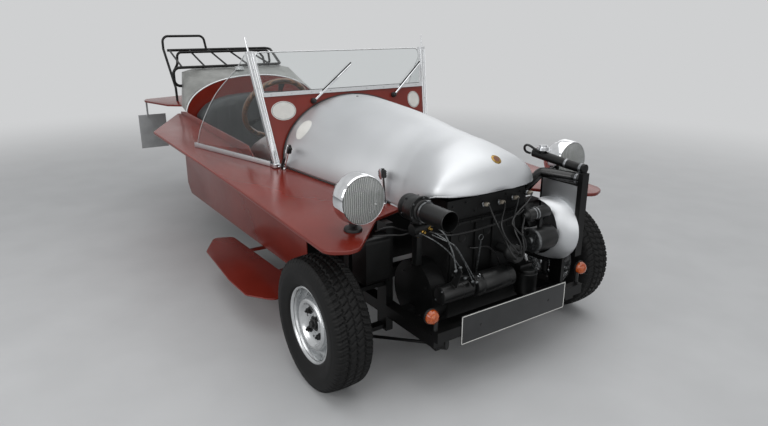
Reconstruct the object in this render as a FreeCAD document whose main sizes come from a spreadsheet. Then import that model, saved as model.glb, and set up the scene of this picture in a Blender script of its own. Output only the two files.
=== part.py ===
import FreeCAD, Part
import Sketcher
import math
import os
from FreeCAD import Placement, Rotation, Vector

# Three wheeled open car: two steered wheels in front, one wheel behind.
# Every x below is measured from the front axle, forwards positive; y is to the left, z is up
# from the ground. The origin is on the ground, halfway between the front and the rear end.

doc = FreeCAD.newDocument("ThreeWheeler")
sheet = doc.addObject("Spreadsheet::Sheet", "Sizes")

# Driving sizes in millimetres, slopes as ratios, angles in degrees
DRIVING_SIZES = {
    "front_reach": 348,
    "tail_reach": 2880,
    "fit_gap": 0.3,
    "running_gap": 0.05,
    "moving_gap": 6,
    "track_half": 604,
    "rear_axle_back": 2400,
    "tyre_radius": 243,
    "tyre_width": 158,
    "rim_radius": 140,
    "rim_width": 112,
    "rim_thick": 5,
    "hub_radius": 38,
    "stub_radius": 14,
    "body_half": 450,
    "panel_thick": 6,
    "body_bottom": 210,
    "body_back": 2100,
    "body_front": 420,
    "floor_thick": 12,
    "wing_clearance": 98,
    "deck_fall": 0.06,
    "wing_thick": 14,
    "wing_tip_front": 672,
    "wing_tip_back": 723,
    "cockpit_back": 2000,
    "bulkhead_thick": 12,
    "arch_top": 928,
    "screen_foot_back": 750,
    "screen_foot_half": 420,
    "screen_foot_rise": 12,
    "screen_rake": 13.4,
    "screen_length": 500,
    "screen_splay": 52,
    "post_width": 26,
    "post_depth": 22,
    "post_channel": 11,
    "bar_up": 300,
    "glass_thick": 5,
    "bonnet_skin": 3,
    "bonnet_lip_rise": 96,
    "lamp_radius": 88,
    "lamp_half": 505,
    "lamp_rise": 125.5,
    "lamp_front": 125,
    "lens_radius": 79,
    "plate_width": 520,
    "plate_height": 110,
    "plate_centre": 255,
    "rail_half": 330,
    "rail_height": 225,
    "rail_size": 45,
    "kingpin_inset": 59,
    "wheel_rim_radius": 180,
    "wheel_grip": 14,
    "wheel_centre_back": 1150,
    "wheel_centre_half": 230,
    "wheel_centre_height": 830,
    "column_fall": 29,
    "column_radius": 18,
    "seat_depth": 430,
    "seat_height": 130,
    "seat_back_thick": 110,
    "seat_back_top": 850,
    "tail_deck_length": 260,
    "tail_deck_half": 394,
    "tail_deck_rise": 232,
    "tail_plate_height": 720,
    "tail_plate_thick": 12,
    "rack_tube": 9,
    "rack_front_back": 2250,
    "rack_rear_back": 2650,
    "rack_front_rise": 11,
    "rack_rear_rise": 90,
    "board_width": 190,
    "board_height": 240,
    "board_drop": 105,
    "step_height": 180,
    "step_thick": 6,
    "block_length": 380,
    "block_depth": 190,
    "block_bottom": 150,
    "block_top": 655,
}


class Size:
    """A number from the sheet, with the formula that binds a property to it."""

    def __init__(self, value, text):
        self.value = float(value)
        self.text = text

    @staticmethod
    def of(other):
        return other if isinstance(other, Size) else Size(other, repr(float(other)))

    def __add__(self, other):
        other = Size.of(other)
        return Size(self.value + other.value, f"({self.text} + {other.text})")

    def __sub__(self, other):
        other = Size.of(other)
        return Size(self.value - other.value, f"({self.text} - {other.text})")

    def __mul__(self, other):
        other = Size.of(other)
        return Size(self.value * other.value, f"({self.text} * {other.text})")

    def __truediv__(self, other):
        other = Size.of(other)
        return Size(self.value / other.value, f"({self.text} / {other.text})")

    def __radd__(self, other):
        return Size.of(other) + self

    def __rsub__(self, other):
        return Size.of(other) - self

    def __rmul__(self, other):
        return Size.of(other) * self

    def __neg__(self):
        return Size(-self.value, f"(-1 * {self.text})")

    def __float__(self):
        return self.value


class Sizes:
    """The sheet's cells by name."""


for row, (name, number) in enumerate(DRIVING_SIZES.items(), start=1):
    sheet.set(f"A{row}", name)
    sheet.set(f"B{row}", str(number))
    sheet.setAlias(f"B{row}", name)
doc.recompute()
S = Sizes()
for name in DRIVING_SIZES:
    setattr(S, name, Size(sheet.get(name), f"Sizes.{name}"))

AXLE = (S.tail_reach - S.front_reach) / 2
S.deck_height = 2 * S.tyre_radius + S.wing_clearance
S.kingpin_half = S.track_half - S.kingpin_inset
S.bonnet_lip_height = S.deck_height + S.bonnet_lip_rise
S.tail_deck_top = S.tail_plate_height + S.tail_plate_thick + S.tail_deck_rise
S.rack_front_height = S.tail_deck_top + S.rack_front_rise
S.rack_rear_height = S.rack_front_height + S.rack_rear_rise
RIGHT, LEFT = -1, 1
SIDES = {"right": RIGHT, "left": LEFT}
PARTS = []


def bind(item, prop, value):
    """Set a property to a size and keep it bound to the sheet."""
    value = Size.of(value)
    item.setExpression(prop, value.text)


def put(item, at, rotation=Rotation()):
    """Place an item at a point measured from the front axle."""
    item.Placement = Placement(Vector(0, 0, 0), rotation)
    bind(item, ".Placement.Base.x", AXLE + at[0])
    bind(item, ".Placement.Base.y", at[1])
    bind(item, ".Placement.Base.z", at[2])
    return item


def part(item, label):
    """Name an item as a piece of the car."""
    item.Label = label
    PARTS.append(item)
    return item


def box(name, sizes, at, rotation=Rotation()):
    item = doc.addObject("Part::Box", name)
    for prop, value in zip(("Length", "Width", "Height"), sizes):
        bind(item, prop, value)
    return put(item, at, rotation)


ALONG = {
    "x": Rotation(Vector(0, 1, 0), 90),
    "y": Rotation(Vector(1, 0, 0), -90),
    "z": Rotation(),
}


def cylinder(name, radius, length, at, along="z"):
    item = doc.addObject("Part::Cylinder", name)
    bind(item, "Radius", radius)
    bind(item, "Height", length)
    rotation = along if isinstance(along, Rotation) else ALONG[along]
    return put(item, at, rotation)


def fuse(name, *items):
    item = doc.addObject("Part::MultiFuse", name)
    item.Shapes = list(items)
    return item


def cut(name, base, tool):
    item = doc.addObject("Part::Cut", name)
    item.Base = base
    item.Tool = tool
    return item


def feature(name, shape, at=(0, 0, 0), rotation=Rotation()):
    """A free form that no primitive gives; its sizes come from the sheet in the code that calls it."""
    item = doc.addObject("Part::Feature", name)
    item.Shape = shape
    return put(item, at, rotation)


def origin_part(body, role):
    return next(item for item in body.Origin.OriginFeatures if item.Role == role)


def outline(body, plane, corners):
    """A closed sketch of straight edges, each corner bound to its sizes."""
    sketch = body.newObject("Sketcher::SketchObject", body.Name + "Outline")
    sketch.AttachmentSupport = [(origin_part(body, plane), "")]
    sketch.MapMode = "FlatFace"
    points = [Vector(float(u), float(v), 0) for u, v in corners]
    count = len(points)
    for index, start in enumerate(points):
        sketch.addGeometry(Part.LineSegment(start, points[(index + 1) % count]), False)
    for index in range(count):
        sketch.addConstraint(Sketcher.Constraint("Coincident", index, 2, (index + 1) % count, 1))
    for index, corner in enumerate(corners):
        for kind, value in zip(("DistanceX", "DistanceY"), corner):
            value = Size.of(value)
            place = sketch.addConstraint(Sketcher.Constraint(kind, -1, 1, index, 1, value.value))
            sketch.setExpression(f"Constraints[{place}]", value.text)
    return sketch


def pad(name, plane, corners, thickness, at, rotation=Rotation(), rounds=()):
    """A plate: an outline, padded along its plane's normal, with some upright edges rounded.

    rounds holds (corner number, radius).
    """
    body = doc.addObject("PartDesign::Body", name)
    sketch = outline(body, plane, corners)
    plate = body.newObject("PartDesign::Pad", name + "Pad")
    plate.Profile = sketch
    bind(plate, "Length", thickness)
    doc.recompute()
    for number, radius in rounds:
        corner = sketch.Placement.multVec(Vector(*(float(c) for c in corners[number]), 0))
        normal = sketch.Placement.Rotation.multVec(Vector(0, 0, 1))
        base = body.Tip
        for index, edge in enumerate(base.Shape.Edges, start=1):
            ends = [vertex.Point - corner for vertex in edge.Vertexes]
            if len(ends) == 2 and all(end.cross(normal).Length < 0.01 for end in ends):
                fillet = body.newObject("PartDesign::Fillet", name + "Round")
                fillet.Base = (base, [f"Edge{index}"])
                bind(fillet, "Radius", radius)
                doc.recompute()
                break
    return put(body, at, rotation)


def turned(name, corners, at, side=LEFT):
    """A body turned about the y axis from an outline of (y, radius) corners."""
    body = doc.addObject("PartDesign::Body", name)
    flipped = [(value if side == LEFT else -Size.of(value), radius) for value, radius in corners]
    sketch = outline(body, "YZ_Plane", flipped)
    turn = body.newObject("PartDesign::Revolution", name + "Turn")
    turn.Profile = sketch
    turn.ReferenceAxis = (origin_part(body, "Y_Axis"), [""])
    turn.Angle = 360
    doc.recompute()
    return put(body, at)


def deck_z(back):
    """Top of the wing planks, a given distance behind the front axle."""
    return S.deck_height + S.deck_fall * back


S.screen_foot_height = deck_z(S.screen_foot_back) + S.screen_foot_rise
S.lamp_height = deck_z(-S.lamp_front) + S.lamp_rise


def tube_along(points, radius, bend):
    """A solid tube through points, with an arc of one radius at each inner corner."""
    points = [Vector(*(float(c) for c in point)) for point in points]
    edges = []
    start = points[0]
    for before, corner, after in zip(points, points[1:], points[2:]):
        inward = (before - corner).normalize()
        outward = (after - corner).normalize()
        half_turn = (math.pi - inward.getAngle(outward)) / 2
        back = bend * math.tan(half_turn)
        first = corner + inward * back
        last = corner + outward * back
        middle_way = (inward + outward).normalize()
        middle = corner + middle_way * (bend / math.cos(half_turn) - bend)
        edges.append(Part.LineSegment(start, first).toShape())
        edges.append(Part.Arc(first, middle, last).toShape())
        start = last
    edges.append(Part.LineSegment(start, points[-1]).toShape())
    path = Part.Wire(edges)
    direction = (points[1] - points[0]).normalize()
    ring = Part.Wire(Part.makeCircle(float(radius), points[0], direction))
    return path.makePipeShell([ring], True, False)


def joined(shapes):
    """One solid from shapes that overlap."""
    return shapes[0].multiFuse(shapes[1:]).removeSplitter()


def arch(x, half, base, top, power, skirt=0.0, count=13):
    """A closed wire across the car: a rounded arch over a straight base."""
    points = []
    for step in range(count):
        angle = math.pi * step / (count - 1)
        reach = abs(math.cos(angle)) ** (2 / power) * (1 if angle < math.pi / 2 else -1)
        rise = abs(math.sin(angle)) ** (2 / power)
        points.append(Vector(x, half * reach, base + (top - base) * rise))
    curve = Part.BSplineCurve()
    curve.interpolate(points)
    low_left = points[0] - Vector(0, 0, skirt)
    low_right = points[-1] - Vector(0, 0, skirt)
    edges = [curve.toShape()]
    if skirt:
        edges.append(Part.LineSegment(points[-1], low_right).toShape())
        edges.append(Part.LineSegment(low_right, low_left).toShape())
        edges.append(Part.LineSegment(low_left, points[0]).toShape())
    else:
        edges.append(Part.LineSegment(points[-1], points[0]).toShape())
    return Part.Wire(edges)


def make_tub():
    """Floor, front bulkhead, side panels and the arched rear bulkhead."""
    length = S.cockpit_back + S.bulkhead_thick - S.body_front
    inner = S.body_half - S.panel_thick
    floor = box("Floor", (length, 2 * inner, S.floor_thick),
                (-S.cockpit_back - S.bulkhead_thick, -inner, S.body_bottom))
    toe_height = deck_z(S.body_front) - S.wing_thick - 4 - S.body_bottom - S.floor_thick
    toe = box("ToeBoard", (S.bulkhead_thick, 2 * inner, toe_height),
              (-S.body_front - S.bulkhead_thick, -inner, S.body_bottom + S.floor_thick))
    part(fuse("FloorTub", floor, toe), "floor_pan")

    under_front = deck_z(S.body_front) - S.wing_thick - 4
    under_screen = deck_z(800) - S.wing_thick - 1
    corners = [
        (-S.body_back, S.body_bottom + 60),
        (-S.body_back + 60, S.body_bottom),
        (-S.body_front, S.body_bottom),
        (-S.body_front, under_front),
        (-800, under_screen),
        (-800, deck_z(800)),
        (-940, deck_z(940)),
        (-1000, deck_z(1000) + 46),
        (-S.cockpit_back, deck_z(S.cockpit_back) + 28),
        (-S.body_back, deck_z(S.body_back) + 12),
    ]
    for side, sign in SIDES.items():
        outer = sign * S.body_half if sign == RIGHT else S.body_half - S.panel_thick
        panel = pad(f"SidePanel{side.title()}", "XZ_Plane", corners, S.panel_thick,
                    (0, outer + S.panel_thick, 0))
        part(panel, f"side_panel_{side}")

    half = float(inner - S.fit_gap)
    foot = float(deck_z(S.cockpit_back)) - 5
    low = float(S.body_bottom + S.floor_thick + S.fit_gap)
    face = Part.Face(arch(0, half, foot, float(S.arch_top), 2.2, foot - low))
    board = face.extrude(Vector(-float(S.bulkhead_thick), 0, 0))
    part(feature("RearBulkhead", board, (-S.cockpit_back, 0, 0)), "rear_bulkhead")


def make_wings():
    """The long flat planks that serve as wings, falling a little towards the nose."""
    tilt = Rotation(Vector(0, 1, 0), math.degrees(math.atan(float(S.deck_fall))))
    for side, sign in SIDES.items():
        halves = [
            (-50, 222), (-4, 371), (208, 575), (168, S.wing_tip_front), (-515, 680),
            (-1680, S.wing_tip_back), (-2110, 470), (-2110, S.body_half), (-798, S.body_half),
            (-798, 385), (-410, 305), (-130, 229),
        ]
        corners = [(x, sign * Size.of(y)) for x, y in halves]
        plank = pad(f"Wing{side.title()}", "XY_Plane", corners, S.wing_thick,
                    (0, 0, S.deck_height - S.wing_thick), tilt, [(1, 30), (2, 60), (3, 60), (5, 30)])
        part(plank, f"wing_{side}")


def screen_place(at=(0, 0, 0)):
    """Placement of a piece drawn upright in the raked plane of the windscreen."""
    rake = Rotation(Vector(0, 1, 0), -float(S.screen_rake))
    foot = Vector(float(AXLE - S.screen_foot_back), 0, float(S.screen_foot_height))
    return Placement(foot, rake).multiply(Placement(Vector(*at), Rotation()))


def raked(name, shape, label):
    """A piece of the windscreen, drawn upright and leant back with it."""
    item = doc.addObject("Part::Feature", name)
    item.Shape = shape
    item.Placement = screen_place()
    part(item, label)


def make_screen():
    """Scuttle panel, dashboard, posts with their bar and rods, and the clear pane."""
    up = float(S.screen_length)
    bar = float(S.bar_up)
    foot = float(S.screen_foot_half)
    splay = float(S.screen_splay) / up
    width = float(S.post_width)
    depth = float(S.post_depth)
    gap = float(S.fit_gap)
    skin = float(S.panel_thick)

    def half_at(height, inset):
        return foot + splay * height - width / 2 - inset

    def trapezoid(x, low, high, inset, thick, corner=0.0):
        points = [Vector(x, -half_at(low, inset), low), Vector(x, half_at(low, inset), low),
                  Vector(x, half_at(high, inset), high), Vector(x, -half_at(high, inset), high)]
        solid = Part.Face(Part.makePolygon(points + points[:1])).extrude(Vector(thick, 0, 0))
        if corner:
            upper = [edge for edge in solid.Edges
                     if all(abs(v.Z - high) < 0.01 for v in edge.Vertexes)
                     and abs(edge.Vertexes[0].X - edge.Vertexes[1].X) > thick / 2]
            solid = solid.makeFillet(corner, upper)
        return solid

    raked("ScuttlePanel", trapezoid(-skin / 2, 2, bar - gap, gap, skin), "scuttle_panel")

    shelf = trapezoid(-70, 272, 280, 6, 70 - skin / 2 - gap)
    face = trapezoid(-70, 140, 280, 6, 8)
    raked("Dashboard", joined([shelf, face]), "dashboard")

    bar_top = bar + 18
    bars = [trapezoid(-depth / 2, bar, bar_top, -2, depth)]
    channel = float(S.post_channel)
    for sign in SIDES.values():
        low = Vector(-depth / 2, sign * foot, 0)
        high = Vector(-depth / 2, sign * (foot + splay * up), up)
        side_points = [low - Vector(0, width / 2, 0), low + Vector(0, width / 2, 0),
                       high + Vector(0, width / 2, 0), high - Vector(0, width / 2, 0)]
        post = Part.Face(Part.makePolygon(side_points + side_points[:1]))
        bars.append(post.extrude(Vector(depth, 0, 0)))
        strip = []
        for height in (bar + 10, up):
            edge = half_at(height, 0)
            strip.append((Vector(-depth / 4, sign * (edge + 2), height),
                          Vector(-depth / 4, sign * (edge - channel), height)))
        (a, b), (c, d) = strip
        strip = Part.Face(Part.makePolygon([a, b, d, c, a]))
        bars.append(strip.extrude(Vector(depth / 2, 0, 0)))
        rod_foot = Vector(0, sign * (foot + splay * (up - 20)), up - 20)
        bars.append(Part.makeCylinder(4, 82, rod_foot, Vector(0, sign * splay, 1)))
        foot_top = float(S.screen_foot_height) + 6
        foot_low = float(deck_z(S.screen_foot_back)) + 1.7
        shoe = Part.makeBox(42, 34, foot_top - foot_low,
                            Vector(float(AXLE - S.screen_foot_back) - 21, sign * (foot + 5) - 17, foot_low))
        bars.append(shoe.transformed(screen_place().inverse().toMatrix()))
    raked("ScreenFrame", joined(bars), "windscreen_frame")

    thick = float(S.glass_thick)
    pane = trapezoid(-thick / 2, bar_top + gap, up - 4, channel + gap, thick, 22)
    raked("ScreenPane", pane, "windscreen_pane")

    arms = []
    for pivot, tip in (((-195, 268), (30, 428)), ((255, 268), (440, 420))):
        front = depth / 2 + 4
        start = Vector(front, *pivot)
        end = Vector(front, *tip)
        run = end - start
        blade = Part.makeCylinder(3, run.Length * 0.55, start + run * 0.45, run)
        arm = Part.makeCylinder(2.5, run.Length * 0.75, start, run)
        boss = Part.makeCylinder(8, front + 3 - skin / 2 - gap, Vector(skin / 2 + gap, *pivot),
                                 Vector(1, 0, 0))
        arms.append(joined([boss, arm, blade]))
    raked("WiperArms", Part.makeCompound(arms), "wiper_arms")


def make_deflectors():
    """Clear side panes, each standing in a channel on the wing beside the screen."""
    panes = []
    rails = []
    for sign in SIDES.values():
        front = Vector(-775, sign * 436, float(deck_z(775)))
        back = Vector(-1262, sign * 624, float(deck_z(1262)))
        along = (back - front).normalize()
        across = along.cross(Vector(0, 0, 1)).normalize()
        length = (back - front).Length
        place = Placement(front, Rotation(along, across, Vector(0, 0, 1), "XZY"))
        rail = Part.makeBox(length, 12, 22, Vector(0, -6, 0.6))
        rail = rail.cut(Part.makeBox(length, 5.6, 18, Vector(0, -2.8, 5)))
        rails.append(rail.transformed(place.toMatrix()))
        heights = [(-2, 5.3), (505, 5.3), (492, 60), (462, 125), (408, 210), (362, 270), (312, 320),
                   (248, 372), (198, 415), (172, 447), (150, 478), (137, 476), (-7, 20), (-2, 19)]
        points = [Vector(u, -2.5, v) for u, v in heights]
        pane = Part.Face(Part.makePolygon(points + points[:1])).extrude(Vector(0, 5, 0))
        panes.append(pane.transformed(place.toMatrix()))
    part(feature("DeflectorRails", Part.makeCompound(rails)), "deflector_rails")
    part(feature("DeflectorPanes", Part.makeCompound(panes)), "deflector_panes")


BONNET_SECTIONS = [
    # back from the front axle, half width, rise above the deck height
    (800, 400, 338), (600, 362, 327), (410, 324, 314), (250, 280, 298), (130, 249, 281),
    (50, 243, 272), (-10, 244, 264), (-50, 246, 254), (-90, 248, 242), (-130, 246, 226),
    (-160, 236, 210), (-185, 212, 190), (-205, 176, 168), (-220, 128, 141), (-229, 60, 112),
]


def bonnet_base(back):
    """Lower edge of the bonnet: along the wing, then up to the lip at the nose."""
    wing = float(deck_z(back)) + 0.6
    lip = float(S.bonnet_lip_height)
    if back > 50:
        return wing
    if back < -160:
        return lip
    low = float(deck_z(50)) + 0.6
    return low + (lip - low) * (50 - back) / 210


def make_bonnet():
    """The lofted aluminium bonnet, open below and in front."""
    skin = float(S.bonnet_skin)
    outer = []
    inner = []
    for index, (back, half, rise) in enumerate(BONNET_SECTIONS):
        base = bonnet_base(back)
        top = float(S.deck_height) + rise
        outer.append(arch(-back, half, base, top, 1.95))
        shift = {0: -12, len(BONNET_SECTIONS) - 1: -skin}.get(index, 0)
        inner.append(arch(-back + shift, half - skin, base, top - skin, 1.95))
    shell = Part.makeLoft(outer, True, True)
    hollow = Part.makeLoft(inner, True, True)
    shell = shell.cut(hollow)
    rake = math.tan(math.radians(float(S.screen_rake)))
    gap = float(S.moving_gap)
    foot = float(S.screen_foot_height)
    front_of_screen = -float(S.screen_foot_back) + float(S.panel_thick) / 2 + gap
    low = Vector(front_of_screen + rake * 100, -600, foot - 100)
    high = Vector(front_of_screen - rake * 400, -600, foot + 400)
    points = [low, high, high - Vector(500, 0, 0), low - Vector(500, 0, 0)]
    trim = Part.Face(Part.makePolygon(points + points[:1])).extrude(Vector(0, 1200, 0))
    part(feature("Bonnet", shell.cut(trim)), "bonnet")

    catches = []
    for sign in SIDES.values():
        for low, high in (((-712, 402, 0), (-640, 386, 700)), ((-118, 256, 0), (-128, 250, 700))):
            foot_z = float(deck_z(7 - low[0])) + 0.4
            foot = Part.makeCylinder(7, 12, Vector(low[0], sign * low[1], foot_z))
            start = Vector(low[0], sign * low[1], foot_z + 6)
            end = Vector(high[0], sign * high[1], high[2])
            rod = Part.makeCylinder(5, (end - start).Length, start, end - start)
            catches.append(joined([foot, rod]))
    part(feature("BonnetCatches", Part.makeCompound(catches)), "bonnet_catches")


def make_cheeks():
    """Plates that close the corners between the screen posts and the cockpit's sides."""
    foot_x, foot_z = -float(S.screen_foot_back), float(S.screen_foot_height)
    inner = float(S.screen_foot_half - S.post_width / 2 - S.fit_gap)
    corners = [(-8, -6), (-52, -6), (-52, -41), (-350, -41), (-370, -1), (-270, 52), (-190, 87),
               (-130, 110), (-88, 112), (-60, 124), (-38.5, 126)]
    plates = []
    for sign in SIDES.values():
        points = [Vector(foot_x + u, sign * inner, foot_z + v) for u, v in corners]
        face = Part.Face(Part.makePolygon(points + points[:1]))
        plates.append(face.extrude(Vector(0, -3 * sign, 0)))
    part(feature("CheekPlates", Part.makeCompound(plates)), "cheek_plates")


def make_cockpit():
    """Seat, steering column and wheel."""
    inner = float(S.body_half - S.panel_thick) - 8
    floor_top = float(S.body_bottom + S.floor_thick)
    depth, height = float(S.seat_depth), float(S.seat_height)
    thick = float(S.seat_back_thick)
    rear = -float(S.cockpit_back) + 3
    cushion = Part.makeBox(depth, 2 * inner, height, Vector(rear + thick + 4, -inner, floor_top + 0.3))
    cushion = cushion.makeFillet(30, cushion.Edges)
    part(feature("SeatBase", cushion), "seat_base")
    shoulders = float(deck_z(S.cockpit_back)) - 60
    squab_low = floor_top + 0.3
    squab = Part.Face(arch(0, inner - 12, shoulders, float(S.seat_back_top), 2.6, shoulders - squab_low))
    squab = squab.extrude(Vector(thick, 0, 0))
    front_edges = [edge for edge in squab.Edges if all(abs(v.X - thick) < 0.01 for v in edge.Vertexes)]
    squab = squab.makeFillet(28, front_edges)
    part(feature("SeatBack", squab, (Size.of(rear), 0, 0)), "seat_back")

    fall = math.radians(float(S.column_fall))
    forward = Vector(math.cos(fall), 0, -math.sin(fall))
    tilt = Rotation(Vector(0, 0, 1), -forward)
    centre = (-S.wheel_centre_back, -S.wheel_centre_half, S.wheel_centre_height)
    reach = float(S.wheel_centre_back - S.body_front - S.bulkhead_thick) / math.cos(fall)
    grip = float(S.wheel_grip)
    ring = float(S.wheel_rim_radius) - grip
    column_gap = 70
    hub_centre = Vector(*(float(c) for c in centre))
    top = hub_centre + forward * column_gap
    foot_x = -float(S.body_front + S.bulkhead_thick) - float(S.fit_gap)
    tube = Part.makeCylinder(float(S.column_radius), reach, top, forward)
    tube = tube.cut(Part.makeBox(2000, 400, 2000, Vector(foot_x, hub_centre.y - 200, -400)))
    foot_z = hub_centre.z - float(S.wheel_centre_back - S.body_front) * math.tan(fall)
    flange = Part.makeCylinder(45, 8, Vector(foot_x - 8, hub_centre.y, foot_z), Vector(1, 0, 0))
    part(feature("SteeringColumn", joined([tube, flange])), "steering_column")
    rim = Part.makeTorus(ring, grip, Vector(0, 0, 0))
    hub = Part.makeCylinder(30, 40, Vector(0, 0, -44))
    shaft = Part.makeCylinder(10, column_gap - 44, Vector(0, 0, -column_gap + float(S.fit_gap)))
    pieces = [rim, hub, shaft]
    for spoke in range(3):
        angle = math.radians(90 + 120 * spoke)
        end = Vector(ring * math.cos(angle), ring * math.sin(angle), 0)
        start = Vector(0, 0, -24)
        pieces.append(Part.makeCylinder(7, (end - start).Length, start, end - start))
    part(feature("SteeringWheel", joined(pieces), centre, tilt), "steering_wheel")


def folded_deck(front, half, base, top, rear, corners, count=17):
    """A deck folded from sheet: a round arch in front, cornered behind, flat between the folds."""
    bow = []
    for step in range(count):
        angle = math.pi * step / (count - 1)
        reach = abs(math.cos(angle)) ** (2 / 2.2) * (1 if angle < math.pi / 2 else -1)
        bow.append(Vector(front, half * reach, base + (top - base) * abs(math.sin(angle)) ** (2 / 2.2)))
    back = [Vector(rear, y, z) for y, z in corners] + [Vector(rear, -y, z) for y, z in reversed(corners)]
    middle = count // 2
    split = middle // 2
    rings = [back, bow, [bow[0], back[0], back[-1], bow[-1]], [back[0], back[1], bow[0]]]
    for step in range(split):
        rings.append([back[1], bow[step], bow[step + 1]])
    rings.append([back[1], back[2], bow[split]])
    for step in range(split, middle):
        rings.append([back[2], bow[step], bow[step + 1]])
    rings.append([back[2], back[3], bow[middle]])
    for step in range(middle, count - 1 - split):
        rings.append([back[3], bow[step], bow[step + 1]])
    rings.append([back[3], back[4], bow[count - 1 - split]])
    for step in range(count - 1 - split, count - 1):
        rings.append([back[4], bow[step], bow[step + 1]])
    rings.append([back[4], back[5], bow[-1]])
    faces = [Part.Face(Part.makePolygon(ring + ring[:1])) for ring in rings]
    solid = Part.Solid(Part.Shell(faces))
    return solid if solid.Volume > 0 else solid.reversed()


def make_tail():
    """Tail deck, the plank over the rear wheel, its blank board, the rack and the fork."""
    half, top = float(S.tail_deck_half), float(S.tail_deck_top)
    length = float(S.tail_deck_length)
    plate_top = float(S.tail_plate_height + S.tail_plate_thick)
    front = -float(S.cockpit_back + S.bulkhead_thick) - 0.3
    front_half = float(S.body_half - S.panel_thick - S.fit_gap)
    front_base = plate_top + 0.3
    deck = folded_deck(front, front_half, front_base, float(S.arch_top), front - length, [
        (half, plate_top + 0.3), (half - 22, top - 18), (half - 92, top)])
    part(feature("TailDeck", deck), "tail_deck")
    cap_x, cap_y, cap_radius = -2170, -28, 33
    cap = Part.makeCylinder(cap_radius, 9).fuse(Part.makeCylinder(28, 9, Vector(0, 0, 9)))
    rise = (top - float(S.arch_top)) / length
    seat_z = top - rise * (cap_x - cap_radius - front + length) + 0.5
    part(feature("FillerCap", cap.removeSplitter(), (cap_x, cap_y, seat_z)), "filler_cap")

    halves = [(-2116, 300), (-2300, 340), (-2400, 452), (-2700, 528), (-2790, 500), (-2880, 200)]
    corners = halves + [(x, -y) for x, y in reversed(halves)]
    plank = pad("TailPlate", "XY_Plane", corners, S.tail_plate_thick, (0, 0, S.tail_plate_height),
                Rotation(), [(3, 60), (4, 40), (7, 40), (8, 60)])
    part(plank, "tail_plate")

    height, drop = float(S.tail_plate_height), float(S.board_drop)
    board_x, tall = 38 - float(S.tail_reach), float(S.board_height)
    board_y = -float(S.board_width) / 2 - 455
    board = Part.makeBox(3, S.board_width.value, tall, Vector(board_x, board_y, height - drop - tall))
    strap = Part.makeBox(3, 12, drop + 15, Vector(board_x + 3, -491, height - drop - 15))
    ear = Part.makeBox(64, 30, 3, Vector(board_x + 3, -500, height - 3))
    part(feature("TailBoard", joined([board, strap, ear])), "tail_board")

    make_rack(plate_top, deck)
    make_fork()


def make_rack(plate_top, deck):
    """Tubular luggage rack behind the tail deck, bowed towards the car's right."""
    tube, slat = float(S.rack_tube), 6
    gap = float(S.fit_gap)
    fx, rx = -float(S.rack_front_back), -float(S.rack_rear_back)
    fz, rz = float(S.rack_front_height), float(S.rack_rear_height)
    side = float(S.tail_deck_half)
    low = fz - 113
    right, left = -side - 36, 300
    rear_right, rear_left = -350, 400

    def along(share):
        """Place on the platform, from its front edge (0) to its rear edge (1)."""
        return fx + (rx - fx) * share, fz + (rz - fz) * share

    frame = tube_along([(fx, -side + 25, low), (fx, right, low), (fx, right, fz), (fx, left, fz),
                        (rx, rear_left, rz), (rx, rear_right, rz)], tube, 38)
    frame = frame.cut(deck.translated(Vector(0, -gap, 0)))

    def room(start, end, radius):
        """The room that one straight tube takes, with the fit gap round it."""
        run = Vector(*end) - Vector(*start)
        return Part.makeCylinder(radius + gap, run.Length, Vector(*start), run)

    front_room = room((fx, right + 40, fz), (fx, left - 40, fz), tube)
    rear_room = room((rx, rear_right, rz), (rx, rear_left, rz), tube)
    hoop_foot = (-2560, -340, plate_top + 2 * gap)
    hoop_knee, hoop_top = (-2562, -342, plate_top + 90), (rx, -375, rz + 10)
    hoop = tube_along([hoop_foot, hoop_knee, hoop_top, (rx, -375, rz + 93), (rx, -95, rz + 93),
                       (rx, -80, rz)], tube - 1, 38).cut(rear_room)
    leg_foot = (-2560, 340, plate_top + 2 * gap)
    leg_knee = (-2562, 341, plate_top + 90)
    leg_top = (-2620, 330, rz - 60)
    leg = tube_along([leg_foot, leg_knee, leg_top, (rx, 290, rz)], tube - 1, 30).cut(rear_room)

    mx, mz = along(0.72)
    mz = mz + slat + tube - 1 + gap + 0.6
    right_end = Vector(*hoop_knee) + (Vector(*hoop_top) - Vector(*hoop_knee)) * 0.31
    left_end = Vector(*leg_knee) + (Vector(*leg_top) - Vector(*leg_knee)) * 0.43
    right_knee, left_knee = Vector(mx, -322, mz - 76), Vector(mx, 346, mz - 76)
    right_end += (right_knee - right_end).normalize() * 15.5
    left_end += (left_knee - left_end).normalize() * 17.9
    bow = tube_along([right_end, right_knee, (mx, -316, mz), (mx, 338, mz), left_knee, left_end],
                     tube - 1, 28)
    pieces = [frame, hoop, leg, bow]
    for y in (-372, -225, -75, 75, 225):
        start, end = Vector(fx, y, fz), Vector(rx, y * 0.9, rz)
        bar = Part.makeCylinder(slat, (end - start).Length, start, end - start)
        pieces.append(bar.cut(front_room).cut(rear_room))
    solids = [max(piece.Solids, key=lambda solid: solid.Volume) for piece in pieces]
    part(feature("LuggageRack", Part.makeCompound(solids)), "luggage_rack")


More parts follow.
